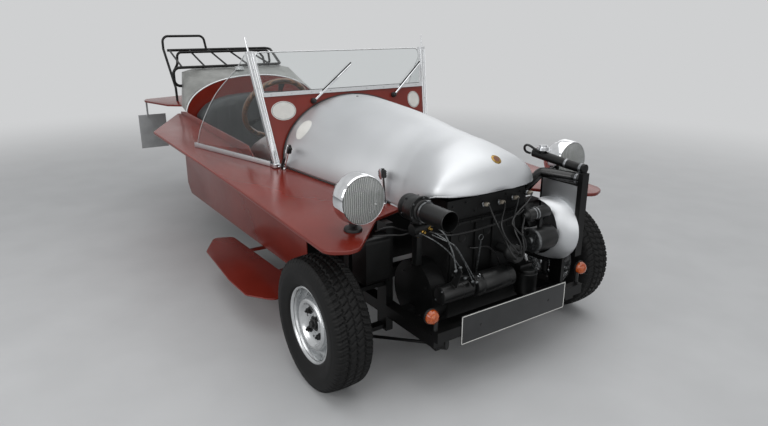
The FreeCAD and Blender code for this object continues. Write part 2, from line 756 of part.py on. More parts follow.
def make_fork():
    """Trailing fork of the rear wheel and the frame that carries the tail."""
    back = float(S.rear_axle_back)
    radius = float(S.tyre_radius)
    wall = -float(S.cockpit_back + S.bulkhead_thick) - 0.3
    arm_in = float(S.tyre_width) / 2 + 12
    pieces = [Part.makeCylinder(20, 2 * (arm_in + 30), Vector(wall - 48, -arm_in - 30, radius + 20),
                                Vector(0, 1, 0))]
    for sign in SIDES.values():
        y = arm_in if sign == LEFT else -arm_in - 24
        pieces.append(Part.makeBox(back + wall - 48 + 80, 24, 50, Vector(-back - 32, y, radius - 25)))
        lug = Part.makeBox(48, 24, 120, Vector(wall - 48, y, radius - 15))
        pieces.append(lug)
    pieces.append(Part.makeCylinder(float(S.stub_radius), 2 * (arm_in + 12),
                                    Vector(-back, -arm_in - 12, radius), Vector(0, 1, 0)))
    part(feature("RearFork", joined(pieces)), "rear_fork")

    height = float(S.tail_plate_height)
    bars = []
    for y in (-200, 176):
        bars.append(Part.makeBox(760, 24, 30, Vector(wall - 760, y, height - 30.3)))
        bars.append(Part.makeBox(24, 24, 300, Vector(wall - 24, y, height - 330)))
    bars.append(Part.makeBox(24, 352, 24, Vector(wall - 700, -176, height - 30.3)))
    bars.append(Part.makeBox(24, 352, 24, Vector(wall - 160, -176, height - 30.3)))
    part(feature("RearFrame", joined(bars)), "rear_frame")


def make_steps():
    """Running boards, each on a strap from under the floor."""
    boards = []
    for sign in SIDES.values():
        halves = [(-331, 606), (-474, 708), (-659, 712), (-1048, 684), (-1215, 590), (-1175, 498),
                  (-598, 482)]
        points = [Vector(x, sign * y, 0) for x, y in halves]
        thick = float(S.step_thick)
        face = Part.Face(Part.makePolygon(points + points[:1]))
        plate = face.extrude(Vector(0, 0, thick))
        upright = [edge for edge in plate.Edges
                   if abs(abs(edge.Vertexes[0].Z - edge.Vertexes[1].Z) - thick) < 0.01]
        plate = plate.makeFillet(38, upright)
        low = float(S.step_height)
        plate.translate(Vector(0, 0, low))
        pieces = [plate]
        drop = float(S.body_bottom) - 0.3 - low
        for x in (-660, -980):
            near = 360 if sign == LEFT else -600
            pieces.append(Part.makeBox(40, 240, 5, Vector(x, near, low - 5)))
            post = 360 if sign == LEFT else -400
            pieces.append(Part.makeBox(40, 40, drop + 5, Vector(x, post, low - 5)))
        boards.append(joined(pieces))
    part(feature("StepPlates", Part.makeCompound(boards)), "step_plates")


def make_front_frame():
    """Subframe with its cross bars and towers, the blank plate and the side lamps."""
    half, height, size = float(S.rail_half), float(S.rail_height), float(S.rail_size)
    body_front = float(S.body_front)
    plate_back = float(S.front_reach) - 3
    pieces = []
    for sign in SIDES.values():
        y = half - size / 2 if sign == LEFT else -half - size / 2
        pieces.append(Part.makeBox(body_front + 315, size, size,
                                   Vector(0.3 - body_front, y, height - size / 2)))
        y = half + size / 2 - 30 if sign == LEFT else -half - size / 2
        top = float(deck_z(-30)) - float(S.wing_thick) - 0.6
        pieces.append(Part.makeBox(60, 30, top - 140, Vector(-30, y, 140)))
        tower_y = half + size / 2 - 2 if sign == LEFT else -half - size / 2 - 98
        tower = Part.makeBox(96, 100, 180, Vector(-46, tower_y, height + 125))
        pieces.append(tower.makeFillet(22, [edge for edge in tower.Edges if edge.BoundBox.YLength > 99]))
        top_back = float(deck_z(240)) - float(S.wing_thick) - 0.6
        pieces.append(Part.makeBox(40, 30, top_back - height, Vector(-280, y, height)))
    pieces.append(Part.makeBox(size, 2 * half, size, Vector(235, -half, height - size / 2)))
    pieces.append(Part.makeBox(30, 720, 40, Vector(plate_back - 30.3, -360, height + 10)))
    pieces.append(Part.makeBox(size, 2 * half, size, Vector(-300, -half, height - size / 2)))
    part(feature("FrontSubframe", joined(pieces)), "front_subframe")

    rods = []
    arm_low = float(S.tyre_radius) - 96
    for sign in SIDES.values():
        start = Vector(0, sign * 440, arm_low - 10.5)
        end = Vector(268, sign * 285, height - size / 2 - 24)
        rod = Part.makeCylinder(6, (end - start).Length, start, end - start)
        bush = Part.makeCylinder(19, 30, end - (end - start).normalize() * 4, end - start)
        lug = Part.makeBox(26, 34, 44, Vector(246, sign * 290 - 17, height - size / 2 - 44 - 0.3))
        stud = Part.makeCylinder(13, 16, Vector(0, sign * 440, arm_low - 16.3))
        rods.append(joined([rod, bush, lug, stud]))
    part(feature("TensionRods", Part.makeCompound(rods)), "tension_rods")

    plate = box("FrontBoard", (3, S.plate_width, S.plate_height),
                (S.front_reach - 3, -S.plate_width / 2, S.plate_centre - S.plate_height / 2))
    part(plate, "front_board")

    lamps = []
    for sign in SIDES.values():
        stalk = Part.makeCylinder(8, 45, Vector(322, sign * 352, height + 50.3), Vector(0, 0, 1))
        cup = Part.makeCylinder(28, 16, Vector(310, sign * 370, height + 106), Vector(1, 0, 0))
        lens = Part.makeCone(28, 19, 17, Vector(326, sign * 370, height + 106), Vector(1, 0, 0))
        lamps.append(joined([stalk, cup, lens]))
    part(feature("Indicators", Part.makeCompound(lamps)), "indicators")


def make_headlamps():
    """Round lamps with chromed bowls on feet that stand on the wings."""
    radius, lens_radius = float(S.lamp_radius), float(S.lens_radius)
    front, half, height = float(S.lamp_front), float(S.lamp_half), float(S.lamp_height)
    bowls = []
    lenses = []
    for sign in SIDES.values():
        centre = Vector(front, sign * half, height)
        profile = [(0, 0, -125), (28, 0, -120), (56, 0, -101), (76, 0, -74), (radius - 4, 0, -54),
                   (radius, 0, -49), (radius, 0, -40), (radius - 3, 0, -12), (radius - 5.5, 0, 2),
                   (lens_radius + 0.3, 0, 2), (lens_radius + 0.3, 0, -16), (0, 0, -16)]
        points = [Vector(*p) for p in profile]
        outline_face = Part.Face(Part.makePolygon(points + points[:1]))
        bowl = outline_face.revolve(Vector(0, 0, 0), Vector(0, 0, 1), 360)
        place = Placement(centre, ALONG["x"])
        bowl = bowl.transformed(place.toMatrix())
        foot_x = front - 70
        foot_z = float(deck_z(-foot_x)) + 0.3
        foot = Part.makeCylinder(16, height - foot_z - 64, Vector(foot_x, sign * half, foot_z + 4))
        base = Part.makeCylinder(32, 12, Vector(foot_x, sign * half, foot_z),
                                 Vector(float(S.deck_fall), 0, 1))
        bowls.append(joined([bowl, foot, base]))
        sphere = Part.makeSphere(240, Vector(0, 0, -224))
        lens = Part.makeCylinder(lens_radius, 40, Vector(0, 0, -15.7)).common(sphere)
        lenses.append(lens.transformed(place.toMatrix()))
    part(feature("HeadlampBowls", Part.makeCompound(bowls)), "headlamp_bowls")
    part(feature("HeadlampLenses", Part.makeCompound(lenses)), "headlamp_lenses")


def make_engine():
    """The open transverse engine with what is bolted to it."""
    length, depth = S.block_length, S.block_depth
    bottom, top = S.block_bottom, S.block_top
    right = -length / 2
    sump = box("Sump", (depth + 60, length, 150), (-60, right, bottom))
    block = box("Block", (depth, length, top - bottom - 150 - 75), (-10, right, bottom + 150))
    head = box("Head", (depth - 20, length, 75), (0, right, top - 75))
    bell = cylinder("Bell", 120, 70, (70, right - 70, bottom + 145), "y")
    rail_inside = S.rail_half - S.rail_size / 2 - S.fit_gap
    stay_right = box("StayRight", (40, rail_inside - length / 2 - 60, 30), (50, -rail_inside, bottom + 60))
    stay_left = box("StayLeft", (40, rail_inside - length / 2, 30), (50, length / 2, bottom + 60))
    part(fuse("EngineBlock", sump, block, head, bell, stay_right, stay_left), "engine_block")
    cover = box("Cover", (130, length - 40, 62), (18, right + 20, top + 0.3))
    part(cover, "rocker_cover")
    face = S.block_depth - 10 + S.fit_gap

    motor = cylinder("StarterBody", 42, 190, (245, -130, 352), "y")
    nose = cylinder("StarterNose", 34, 150, (245, -280, 352), "y")
    foot = box("StarterFoot", (62, 60, 44), (face, -150, 330))
    part(fuse("StarterMotor", motor, nose, foot), "starter_motor")

    can = cylinder("FilterCan", 42, 103, (246, 150, 249))
    head_boss = box("FilterHead", (66, 60, 30), (face, 120, 340))
    part(fuse("OilFilter", can, head_boss), "oil_filter")

    dynamo_body = cylinder("DynamoBody", 48, 118, (248, 150, 466), "y")
    coil = cylinder("CoilBody", 24, 112, (250, 120, 572), "y")
    ear = box("DynamoEar", (60, 30, 50), (face, 160, 450))
    coil_stay = box("CoilStay", (12, 16, 110), (244, 190, 460))
    part(fuse("Dynamo", dynamo_body, coil, ear, coil_stay), "dynamo")

    stem = cylinder("DistributorStem", 18, 70, (face, 62, 440), "x")
    cap = cylinder("DistributorCap", 36, 45, (240, 62, 440), "x")
    part(fuse("Distributor", stem, cap), "distributor")

    drum = cylinder("BlowerDrum", 46, 80, (72, -296, 640), "x")
    flange = cylinder("BlowerFlange", 50, 10, (150, -293, 640), "x")
    stay = box("BlowerStay", (30, 25, 205), (80, -275, 414.9))
    horn_outer = cylinder("TrumpetOuter", 36, 150, (155, -290, 638), "x")
    horn_inner = cylinder("TrumpetInner", 33, 140, (175, -290, 638), "x")
    horn = cut("Trumpet", fuse("BlowerWhole", drum, flange, stay, horn_outer), horn_inner)
    part(horn, "blower")

    core = box("RadiatorCore", (182, 32, 281), (120, 335, 385))
    tank = box("RadiatorTank", (20, 36, 327), (300, 333, 385))
    foot_top = S.rail_height + S.rail_size / 2 + S.fit_gap
    lug = box("RadiatorFoot", (60, 17, 145), (200, 335, foot_top))
    part(fuse("Radiator", core, tank, lug), "radiator")
    make_cowl()


def ring_loft(rings):
    """A solid between circles that stand across the y axis, each given as x, y, z and radius."""
    wires = [Part.Wire(Part.makeCircle(radius, Vector(x, y, z), Vector(0, 1, 0)))
             for x, y, z, radius in rings]
    return Part.makeLoft(wires, True, False)


def make_cowl():
    """Fan, its sheet cowl with a polished crescent, the hoses and the filler above the radiator."""
    gap = float(S.fit_gap)
    plate = Part.makeBox(167.5, 3, 272, Vector(132, 331.7, 390))
    mouth, middle, foot = (158, 275, 478, 113), (188, 306, 474, 124), (202, 332, 472, 127)
    bowl = ring_loft([mouth, middle, foot])
    hollow = ring_loft([(x, y + (index - 1), z, radius - 3)
                        for index, (x, y, z, radius) in enumerate((mouth, middle, foot))])
    crescent = bowl.cut(hollow).cut(Part.makeBox(200, 100, 300, Vector(-34, 255, 330)))
    part(feature("RadiatorCowl", joined([plate, crescent])), "radiator_cowl")

    fan_x, fan_z = 150, 478
    fan = [Part.makeCylinder(radius, run, Vector(fan_x, y, fan_z), Vector(0, 1, 0))
           for radius, run, y in ((20, 108, 190 + gap), (46, 14, 206), (28, 14, 282))]
    for blade in range(6):
        sheet_blade = Part.makeBox(64, 2.5, 36, Vector(24, -1.25, -18))
        sheet_blade.rotate(Vector(0, 0, 0), Vector(1, 0, 0), 62)
        sheet_blade.rotate(Vector(0, 0, 0), Vector(0, 1, 0), 60 * blade)
        sheet_blade.translate(Vector(fan_x, 289, fan_z))
        fan.append(sheet_blade)
    part(feature("CoolingFan", joined(fan)), "cooling_fan")

    tank_back = 300 - gap
    hose = tube_along([(tank_back, 351, 688), (262, 351, 688), (140, 306, 690), (84, 264, 600),
                       (84, 190 + gap, 600)], 19.5, 30)
    part(feature("TopHose", hose), "top_hose")
    neck = tube_along([(tank_back, 368, 724), (262, 368, 724), (62, 346, 750)], 18, 60)
    cap_x, cap_y = 104, 350
    spout = Part.makeCylinder(15, 24, Vector(cap_x, cap_y, 742))
    part(feature("FillerNeck", joined([neck, spout])), "filler_neck")
    cap = Part.makeCylinder(24, 12, Vector(cap_x, cap_y, 766 + gap)).fuse(
        Part.makeCylinder(17, 8, Vector(cap_x, cap_y, 778)))
    part(feature("RadiatorCap", cap.removeSplitter()), "radiator_cap")


def make_suspension():
    """Fixed arms and rods, and the two steered knuckles."""
    half, kingpin = float(S.rail_half) + float(S.rail_size) / 2, float(S.kingpin_half)
    centre = float(S.tyre_radius)
    arms = []
    for sign in SIDES.values():
        for z in (centre - 88, centre + 88):
            y = half + 0.3 if sign == LEFT else -kingpin - 14
            arms.append(Part.makeBox(36, kingpin + 14 - half - 0.3, 16, Vector(-18, y, z - 8)))
    part(feature("SuspensionArms", Part.makeCompound(arms)), "suspension_arms")

    for side, sign in SIDES.items():
        tilt = Vector(0, sign, 0)
        post = Part.makeCylinder(16, 160 - 2 * 0.5, Vector(0, sign * kingpin, centre - 79.5))
        stub_start = Vector(0, sign * kingpin, centre)
        stub = Part.makeCylinder(float(S.stub_radius), 95, stub_start, tilt)
        boss = Part.makeCylinder(30, 26, Vector(0, sign * (kingpin - 13), centre), tilt)
        lever = Part.makeBox(118, 20, 14, Vector(-118, sign * (kingpin - 22) - 10, centre - 20))
        part(feature(f"Knuckle{side.title()}", joined([post, stub, boss, lever])), f"knuckle_{side}")


def facetted_ring(corners, side, count=60):
    """A solid turned about the y axis in flat facets, from an outline of (y, radius) corners."""
    rings = []
    for step in range(count):
        angle = 2 * math.pi * step / count
        sine, cosine = math.sin(angle), math.cos(angle)
        rings.append([Vector(float(radius) * sine, side * float(y), -float(radius) * cosine)
                      for y, radius in corners])
    faces = []
    for step, here in enumerate(rings):
        there = rings[(step + 1) % count]
        for index, point in enumerate(here):
            after = (index + 1) % len(here)
            ring = [point, here[after], there[after], there[index]]
            faces.append(Part.Face(Part.makePolygon(ring + ring[:1])))
    solid = Part.Solid(Part.Shell(faces))
    return solid if solid.Volume > 0 else solid.reversed()


def make_wheels():
    """Three like wheels: a tyre in flat facets and a pressed rim with a raised ring."""
    places = {
        "front_right": (0, -S.track_half, RIGHT),
        "front_left": (0, S.track_half, LEFT),
        "rear": (-S.rear_axle_back, 0, LEFT),
    }
    tread, wide = S.tyre_width / 2 - 14, S.tyre_width / 2
    rim_half, thick = S.rim_width / 2, S.rim_thick
    bead = S.rim_radius - 12
    for name, (x, y, side) in places.items():
        title = name.title().replace("_", "")
        tyre = facetted_ring([
            (6.6 - rim_half, bead + 0.5), (rim_half - 6.6, bead + 0.5),
            (rim_half - 6.6, S.rim_radius + 0.8), (rim_half + 4, S.rim_radius + 4),
            (wide, S.tyre_radius - 55), (wide - 3, S.tyre_radius - 22), (tread, S.tyre_radius - 2),
            (tread - 30, S.tyre_radius), (30 - tread, S.tyre_radius), (-tread, S.tyre_radius - 2),
            (3 - wide, S.tyre_radius - 22), (-wide, S.tyre_radius - 55),
            (-rim_half - 4, S.rim_radius + 4), (6.6 - rim_half, S.rim_radius + 0.8),
        ], side)
        part(feature(f"Tyre{title}", tyre, (x, y, S.tyre_radius)), f"tyre_{name}")
        bore = S.stub_radius + S.running_gap
        rim = turned(f"Rim{title}", [
            (-rim_half - 1, S.rim_radius), (-rim_half - 1, bead - thick), (-20, bead - 23),
            (20, bead - 23), (40, bead - 36), (43, S.hub_radius + 42), (18, S.hub_radius + 18),
            (-2, S.hub_radius + 4), (-2, bore), (30, bore), (30, S.hub_radius),
            (24, S.hub_radius + 14), (49, S.hub_radius + 38), (50, S.hub_radius + 48),
            (47, bead - 33), (28, bead - 17),
            (rim_half - 8, bead - thick), (rim_half + 1, bead - thick), (rim_half + 1, S.rim_radius),
            (rim_half - 4, S.rim_radius), (rim_half - 6.3, bead), (-rim_half + 6.3, bead),
            (-rim_half + 4, S.rim_radius),
        ], (x, y, S.tyre_radius), side)
        part(rim, f"rim_{name}")


def make_all():
    make_tub()
    make_wings()
    make_screen()
    make_deflectors()
    make_bonnet()
    make_cheeks()
    make_cockpit()
    make_tail()
    make_steps()
    make_front_frame()
    make_headlamps()
    make_engine()
    make_suspension()
    make_wheels()


def export_parts():
    doc.recompute()
    broken = [item.Name for item in doc.Objects if {"Invalid", "Error"} & set(item.State)]
    for item in PARTS:
        if item.Shape.isNull() or not item.Shape.isValid() or not item.Shape.Solids:
            broken.append(item.Label)
    if broken:
        raise RuntimeError("not built: " + ", ".join(broken))
    os.makedirs("parts", exist_ok=True)
    for item in PARTS:
        item.Shape.exportStep(f"parts/{item.Label}.step")
        print(item.Label, len(item.Shape.Solids), round(item.Shape.Volume / 1e6, 3))


make_all()
export_parts()
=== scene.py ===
"""A three wheeled car with plank wings, an open engine and a lift-off aluminium bonnet."""

import math

import bmesh
import bpy
from bpy.props import FloatProperty, FloatVectorProperty, IntProperty, PointerProperty
from mathutils import Matrix, Vector


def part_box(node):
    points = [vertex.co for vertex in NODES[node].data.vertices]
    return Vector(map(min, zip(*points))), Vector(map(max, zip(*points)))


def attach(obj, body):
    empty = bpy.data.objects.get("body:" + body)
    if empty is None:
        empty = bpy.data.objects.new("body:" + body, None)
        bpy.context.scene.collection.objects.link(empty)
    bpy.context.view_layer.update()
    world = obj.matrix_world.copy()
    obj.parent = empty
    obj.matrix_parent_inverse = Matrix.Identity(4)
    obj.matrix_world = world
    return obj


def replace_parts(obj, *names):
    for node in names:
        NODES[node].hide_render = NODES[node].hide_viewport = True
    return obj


bl_info = {
    "name": "Three wheeled car",
    "version": (1, 0, 0),
    "blender": (4, 5, 0),
    "location": "View3D > Sidebar > Car",
    "description": "Dresses the packed frame of a three wheeled car",
    "category": "Object",
}

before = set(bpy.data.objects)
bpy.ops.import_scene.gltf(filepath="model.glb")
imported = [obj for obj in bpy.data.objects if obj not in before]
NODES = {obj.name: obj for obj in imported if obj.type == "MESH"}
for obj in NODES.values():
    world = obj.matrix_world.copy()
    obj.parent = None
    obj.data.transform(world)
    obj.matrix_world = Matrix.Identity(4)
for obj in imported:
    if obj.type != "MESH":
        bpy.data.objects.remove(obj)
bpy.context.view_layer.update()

TYRE_LOW, TYRE_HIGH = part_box("tyre_front_left")
AXLE_X = (TYRE_LOW[0] + TYRE_HIGH[0]) / 2
TYRE_RADIUS = (TYRE_HIGH[2] - TYRE_LOW[2]) / 2
WING_FALL = 0.06
WING_TOP = 0.584
BODY = "car_body"
BONNET = "bonnet_panel"
SIDES = ((-1, "right"), (1, "left"))
FORWARD, LEFT, UP = (Vector(axis) for axis in ((1, 0, 0), (0, 1, 0), (0, 0, 1)))
BACKDROP = "#cfd0d1"


def at(x, y, z):
    """A point given from the front axle, in the frame."""
    return Vector((x + AXLE_X, y, z))


def deck_z(x):
    """Height of a wing's top at x from the front axle."""
    return WING_TOP - WING_FALL * x


def linear(colour):
    """An sRGB hex colour, or a panel colour as (name, factor), as the linear colour that a shader takes."""
    if isinstance(colour, tuple):
        name, factor = colour
        return tuple(part * factor for part in getattr(bpy.context.scene.car_finishes, name)) + (1.0,)
    parts = [int(colour[i:i + 2], 16) / 255 for i in (1, 3, 5)]
    return tuple(c / 12.92 if c <= 0.04045 else ((c + 0.055) / 1.055) ** 2.4 for c in parts) + (1.0,)


def add(tree, kind, links=None, values=None, **settings):
    """Adds one node with its settings, socket values and links, and returns it."""
    node = tree.nodes.new(kind)
    for key, value in settings.items():
        setattr(node, key, value)
    for key, value in (values or {}).items():
        node.inputs[key].default_value = value
    for key, source in (links or {}).items():
        tree.links.new(source, node.inputs[key])
    return node


def weather(tree, place, mm, kind="Noise", stretch=None, settings=None, tone=None, spread=(0.35, 0.65),
            gloss=None, relief=None, **values):
    """Lets a pattern with features of mm millimetres vary a finish's tone, its roughness or its height.

    tone is two colours, gloss two roughnesses, and relief a strength and a distance in metres.
    """
    shader = tree.nodes["Principled BSDF"]
    if stretch:
        place = add(tree, "ShaderNodeMapping", {"Vector": place}, {"Scale": stretch}).outputs["Vector"]
    # a wave's period is 2 pi / 20 / scale
    scale = 1000.0 / mm * (math.tau / 20 if kind == "Wave" else 1.0)
    texture = add(tree, f"ShaderNodeTex{kind}", {"Vector": place}, {"Scale": scale, **values},
                  **(settings or {}))
    share = texture.outputs["Distance" if kind == "Voronoi" else "Fac"]
    if tone:
        ramp = add(tree, "ShaderNodeValToRGB", {"Fac": share})
        for stop, position, colour in zip(ramp.color_ramp.elements, spread, tone):
            stop.position, stop.color = position, linear(colour)
        tree.links.new(ramp.outputs["Color"], shader.inputs["Base Color"])
    if gloss:
        span = add(tree, "ShaderNodeMapRange", {"Value": share}, {"To Min": gloss[0], "To Max": gloss[1]})
        tree.links.new(span.outputs["Result"], shader.inputs["Roughness"])
    if relief:
        bump = add(tree, "ShaderNodeBump", {"Height": share}, {"Strength": relief[0], "Distance": relief[1]})
        tree.links.new(bump.outputs["Normal"], shader.inputs["Normal"])


def finish_from(name, base, roughness, metallic, patterns, **sockets):
    """A material: even values on its shader's own sockets, then its patterns."""
    material = bpy.data.materials.new(name)
    material.use_nodes = True
    tree = material.node_tree
    inputs = tree.nodes["Principled BSDF"].inputs
    inputs["Base Color"].default_value = linear(base)
    inputs["Roughness"].default_value = roughness
    inputs["Metallic"].default_value = metallic
    for key, value in sockets.items():
        inputs[key.replace("_", " ")].default_value = value
    place = add(tree, "ShaderNodeTexCoord").outputs["Object"]
    for pattern in patterns:
        weather(tree, place, **pattern)
    return material


def plastic(name, base, darker, roughness):
    """Moulded or rolled plastic: one colour with slight dust and a fine texture."""
    return finish_from(name, base, roughness, 0.0, [
        dict(mm=50, Detail=5, tone=(darker, base), gloss=(roughness - 0.06, roughness + 0.08)),
        dict(mm=1.5, Detail=2, relief=(0.06, 0.0003))])


def metal(name, base, darker, roughness):
    """Cast or turned metal: one colour, slightly tarnished in patches."""
    return finish_from(name, base, roughness, 1.0, [
        dict(mm=12, Detail=5, tone=(darker, base), gloss=(roughness - 0.08, roughness + 0.14))])


FINISHES = {
    # gloss enamel brushed on board: deep red, with a soft orange peel that makes reflections waver a little
    "red": lambda: finish_from("gloss_enamel_red", ("board", 1.0), 0.24, 0.0, [
        dict(mm=220, Detail=4, tone=(("board", 0.9), ("board", 1.12))),
        dict(mm=55, Detail=5, gloss=(0.17, 0.3)),
        dict(mm=9, Detail=2, relief=(0.06, 0.0004))],
        Coat_Weight=0.05, Coat_Roughness=0.05, Specular_IOR_Level=0.4),
    # hand-formed aluminium sheet rubbed to satin: broad soft highlights and a faint grain
    "sheet": lambda: finish_from("satin_aluminium_sheet", ("bonnet", 1.0), 0.42, 1.0, [
        dict(mm=320, Detail=3, tone=(("bonnet", 0.96), ("bonnet", 1.05))),
        dict(mm=2.2, Detail=4, stretch=(0.08, 1.0, 1.0), gloss=(0.44, 0.52))]),
    # the same sheet left outdoors: grey with oxide, so it reflects little
    "deck": lambda: finish_from("weathered_aluminium_sheet", "#8c8d8a", 0.46, 0.75, [
        dict(mm=90, Detail=6, Roughness=0.6, tone=("#979895", "#aeafac"), gloss=(0.38, 0.55)),
        dict(mm=3, Detail=4, relief=(0.05, 0.0002))]),
    # extruded aluminium, polished: brighter than the sheet, with lines along its length
    "section": lambda: finish_from("polished_aluminium_section", "#d9dadc", 0.18, 1.0, [
        dict(mm=1.4, Detail=3, stretch=(1.0, 1.0, 0.05), tone=("#cfd0d2", "#e2e3e4"), gloss=(0.13, 0.27))]),
    # bright chromium plate on steel: a mirror with faint wipe marks
    "chrome": lambda: finish_from("bright_chrome_plate", "#e6e7e9", 0.05, 1.0, [
        dict(mm=30, Detail=5, tone=("#dddee0", "#ebecee"), gloss=(0.03, 0.1))]),
    # stoved black enamel on steel tube: near black with a soft gloss
    "enamel": lambda: finish_from("stoved_black_enamel", "#060606", 0.38, 0.0, [
        dict(mm=90, Detail=4, tone=("#050505", "#0a0a0a"), gloss=(0.3, 0.46)),
        dict(mm=2.5, Detail=3, relief=(0.1, 0.0003))], Specular_IOR_Level=0.28),
    # black paint over sand-cast iron: pebbled, darker where oil has wetted it, dusty on the ridges
    "iron": lambda: finish_from("black_painted_cast_iron", "#070707", 0.5, 0.0, [
        dict(mm=45, Detail=6, Roughness=0.6, tone=("#040404", "#0e0f0f"), spread=(0.3, 0.75)),
        dict(mm=70, Detail=3, gloss=(0.34, 0.65)),
        dict(mm=3.0, Detail=4, Roughness=0.6, relief=(0.25, 0.0006))], Specular_IOR_Level=0.26),
    # satin black on drawn sheet cans and motors: smoother than the castings
    "tin": lambda: finish_from("satin_black_on_steel", "#0b0b0c", 0.36, 0.0, [
        dict(mm=60, Detail=5, tone=("#080808", "#101111"), gloss=(0.3, 0.44)),
        dict(mm=5, Detail=4, relief=(0.05, 0.0003))], Specular_IOR_Level=0.4),
    # cast acrylic: clear, glossy, with the least grey of fine hairlines
    "clear": lambda: finish_from("clear_acrylic_sheet", "#f2f5f5", 0.02, 0.0, [
        dict(mm=25, Detail=6, Roughness=0.7, gloss=(0.0, 0.05))], IOR=1.49, Transmission_Weight=1.0),
    # pressed lamp glass: upright flutes bend what is behind them, and their colour has painted highlights
    # along them with painted shade between; they are drawn 7 mm apart, where the real ones are about 5
    "glass": lambda: finish_from("pressed_fluted_glass", "#e2e5e2", 0.05, 0.0, [
        dict(mm=7, kind="Wave", settings={"bands_direction": "Y"}, Distortion=0.4, Detail=1.0,
             tone=("#b0b4b1", "#f6f8f6"), spread=(0.2, 0.8), relief=(0.9, 0.003)),
        dict(mm=9, Detail=3, gloss=(0.03, 0.08))], IOR=1.5, Transmission_Weight=0.6),
    # silvered reflector bowl: bright and slightly soft
    "reflector": lambda: finish_from("silvered_reflector", "#b4b5b2", 0.16, 1.0, [
        dict(mm=20, Detail=4, tone=("#9c9d9a", "#c6c7c4"), gloss=(0.1, 0.22))]),
    # moulded amber acrylic: a painted glow, lighter in the middle of each cell of its moulded pattern and
    # darker at the cell's edge, with a ribbed pattern inside
    "amber": lambda: finish_from("moulded_amber_acrylic", "#d65a1a", 0.12, 0.0, [
        dict(mm=6, kind="Voronoi", tone=("#e8792c", "#b8430e"), spread=(0.0, 0.8), relief=(0.4, 0.001))],
        IOR=1.49, Transmission_Weight=0.35, Coat_Weight=0.4),
    # cured tyre rubber: dark grey, dull, with fine mould grain and a little dust
    "tyre": lambda: finish_from("cured_tyre_rubber", "#0b0b0b", 0.6, 0.0, [
        dict(mm=60, Detail=6, Roughness=0.65, tone=("#080808", "#121212"), spread=(0.3, 0.8),
             gloss=(0.5, 0.75)),
        dict(mm=1.8, Detail=3, relief=(0.2, 0.0004))], Specular_IOR_Level=0.25),
    # pressed wheel steel in bright silver lacquer: metallic flake under a thin gloss
    "wheel": lambda: finish_from("silver_lacquered_steel", "#c6c8ca", 0.26, 0.95, [
        dict(mm=35, Detail=5, Roughness=0.6, tone=("#c0c2c3", "#d2d4d5"), spread=(0.25, 0.6),
             gloss=(0.2, 0.3)),
        dict(mm=2.5, Detail=2, relief=(0.03, 0.0001))], Coat_Weight=0.35, Coat_Roughness=0.08),
    # bare machined steel of nuts, pins and rods
    "steel": lambda: finish_from("machined_bright_steel", "#8e9091", 0.32, 1.0, [
        dict(mm=6, Detail=5, Roughness=0.6, tone=("#6f7173", "#a2a4a6"), gloss=(0.2, 0.42))]),
    # dull zinc-plated wire and link rods
    "wire": lambda: finish_from("zinc_plated_wire", "#5c5e5f", 0.45, 1.0, [
        dict(mm=8, Detail=4, tone=("#454748", "#6f7172"), gloss=(0.32, 0.52))]),
    # grained leathercloth in charcoal: fine pebble grain with a low sheen
    "cloth": lambda: finish_from("charcoal_leathercloth", ("seat", 1.0), 0.5, 0.0, [
        dict(mm=120, Detail=4, tone=(("seat", 0.82), ("seat", 1.3)), gloss=(0.42, 0.6)),
        dict(mm=2.6, kind="Voronoi", relief=(0.35, 0.0006))], Specular_IOR_Level=0.4),
    # laminated ash under varnish, oiled darker where hands hold it
    "wood": lambda: finish_from("varnished_dark_ash", ("rim", 1.0), 0.28, 0.0, [
        dict(mm=9, kind="Wave", stretch=(1.0, 0.25, 0.25), Distortion=6.0, Detail=3.0,
             tone=(("rim", 0.42), ("rim", 2.1)), spread=(0.1, 0.9))], Coat_Weight=0.4, Coat_Roughness=0.08),
    # moulded coolant hose: glossy black rubber with a faint wrap from its mould
    "hose": lambda: finish_from("moulded_hose_rubber", "#0a0a0a", 0.24, 0.0, [
        dict(mm=12, kind="Wave", settings={"bands_direction": "DIAGONAL"}, Distortion=0.6, Detail=1.0,
             tone=("#080808", "#101010"), relief=(0.08, 0.0004)),
        dict(mm=30, Detail=4, gloss=(0.18, 0.34))], Specular_IOR_Level=0.6),
    "cast": lambda: metal("grey_cast_aluminium", "#77797a", "#4c4e4f", 0.45),
    "bright": lambda: metal("bright_anodised_strip", "#e6e7e8", "#dcdedf", 0.34),
    "brass": lambda: metal("lacquered_brass", "#a98a4a", "#8a6d36", 0.25),
    "lead": lambda: plastic("black_lead_insulation", "#0c0c0d", "#080808", 0.35),
    "board": lambda: plastic("black_acrylic_board", "#2a2b2c", "#232425", 0.4),
    "white": lambda: plastic("white_vinyl_film", "#dcdcd8", "#cfcfca", 0.4),
    "grey": lambda: plastic("grey_polypropylene_sheet", "#a3a5a6", "#989a9b", 0.5),
    "rubber": lambda: plastic("moulded_black_rubber", "#0e0f0f", "#090909", 0.5),
    "plug": lambda: plastic("cream_ceramic_cap", "#b9b2a4", "#978e80", 0.35),
    "brown": lambda: plastic("brown_phenolic_cap", "#6a3a22", "#55301d", 0.35),
}
MADE = {}


def paint(name):
    """The named finish, made once."""
    if name not in MADE:
        MADE[name] = FINISHES[name]()
    return MADE[name]


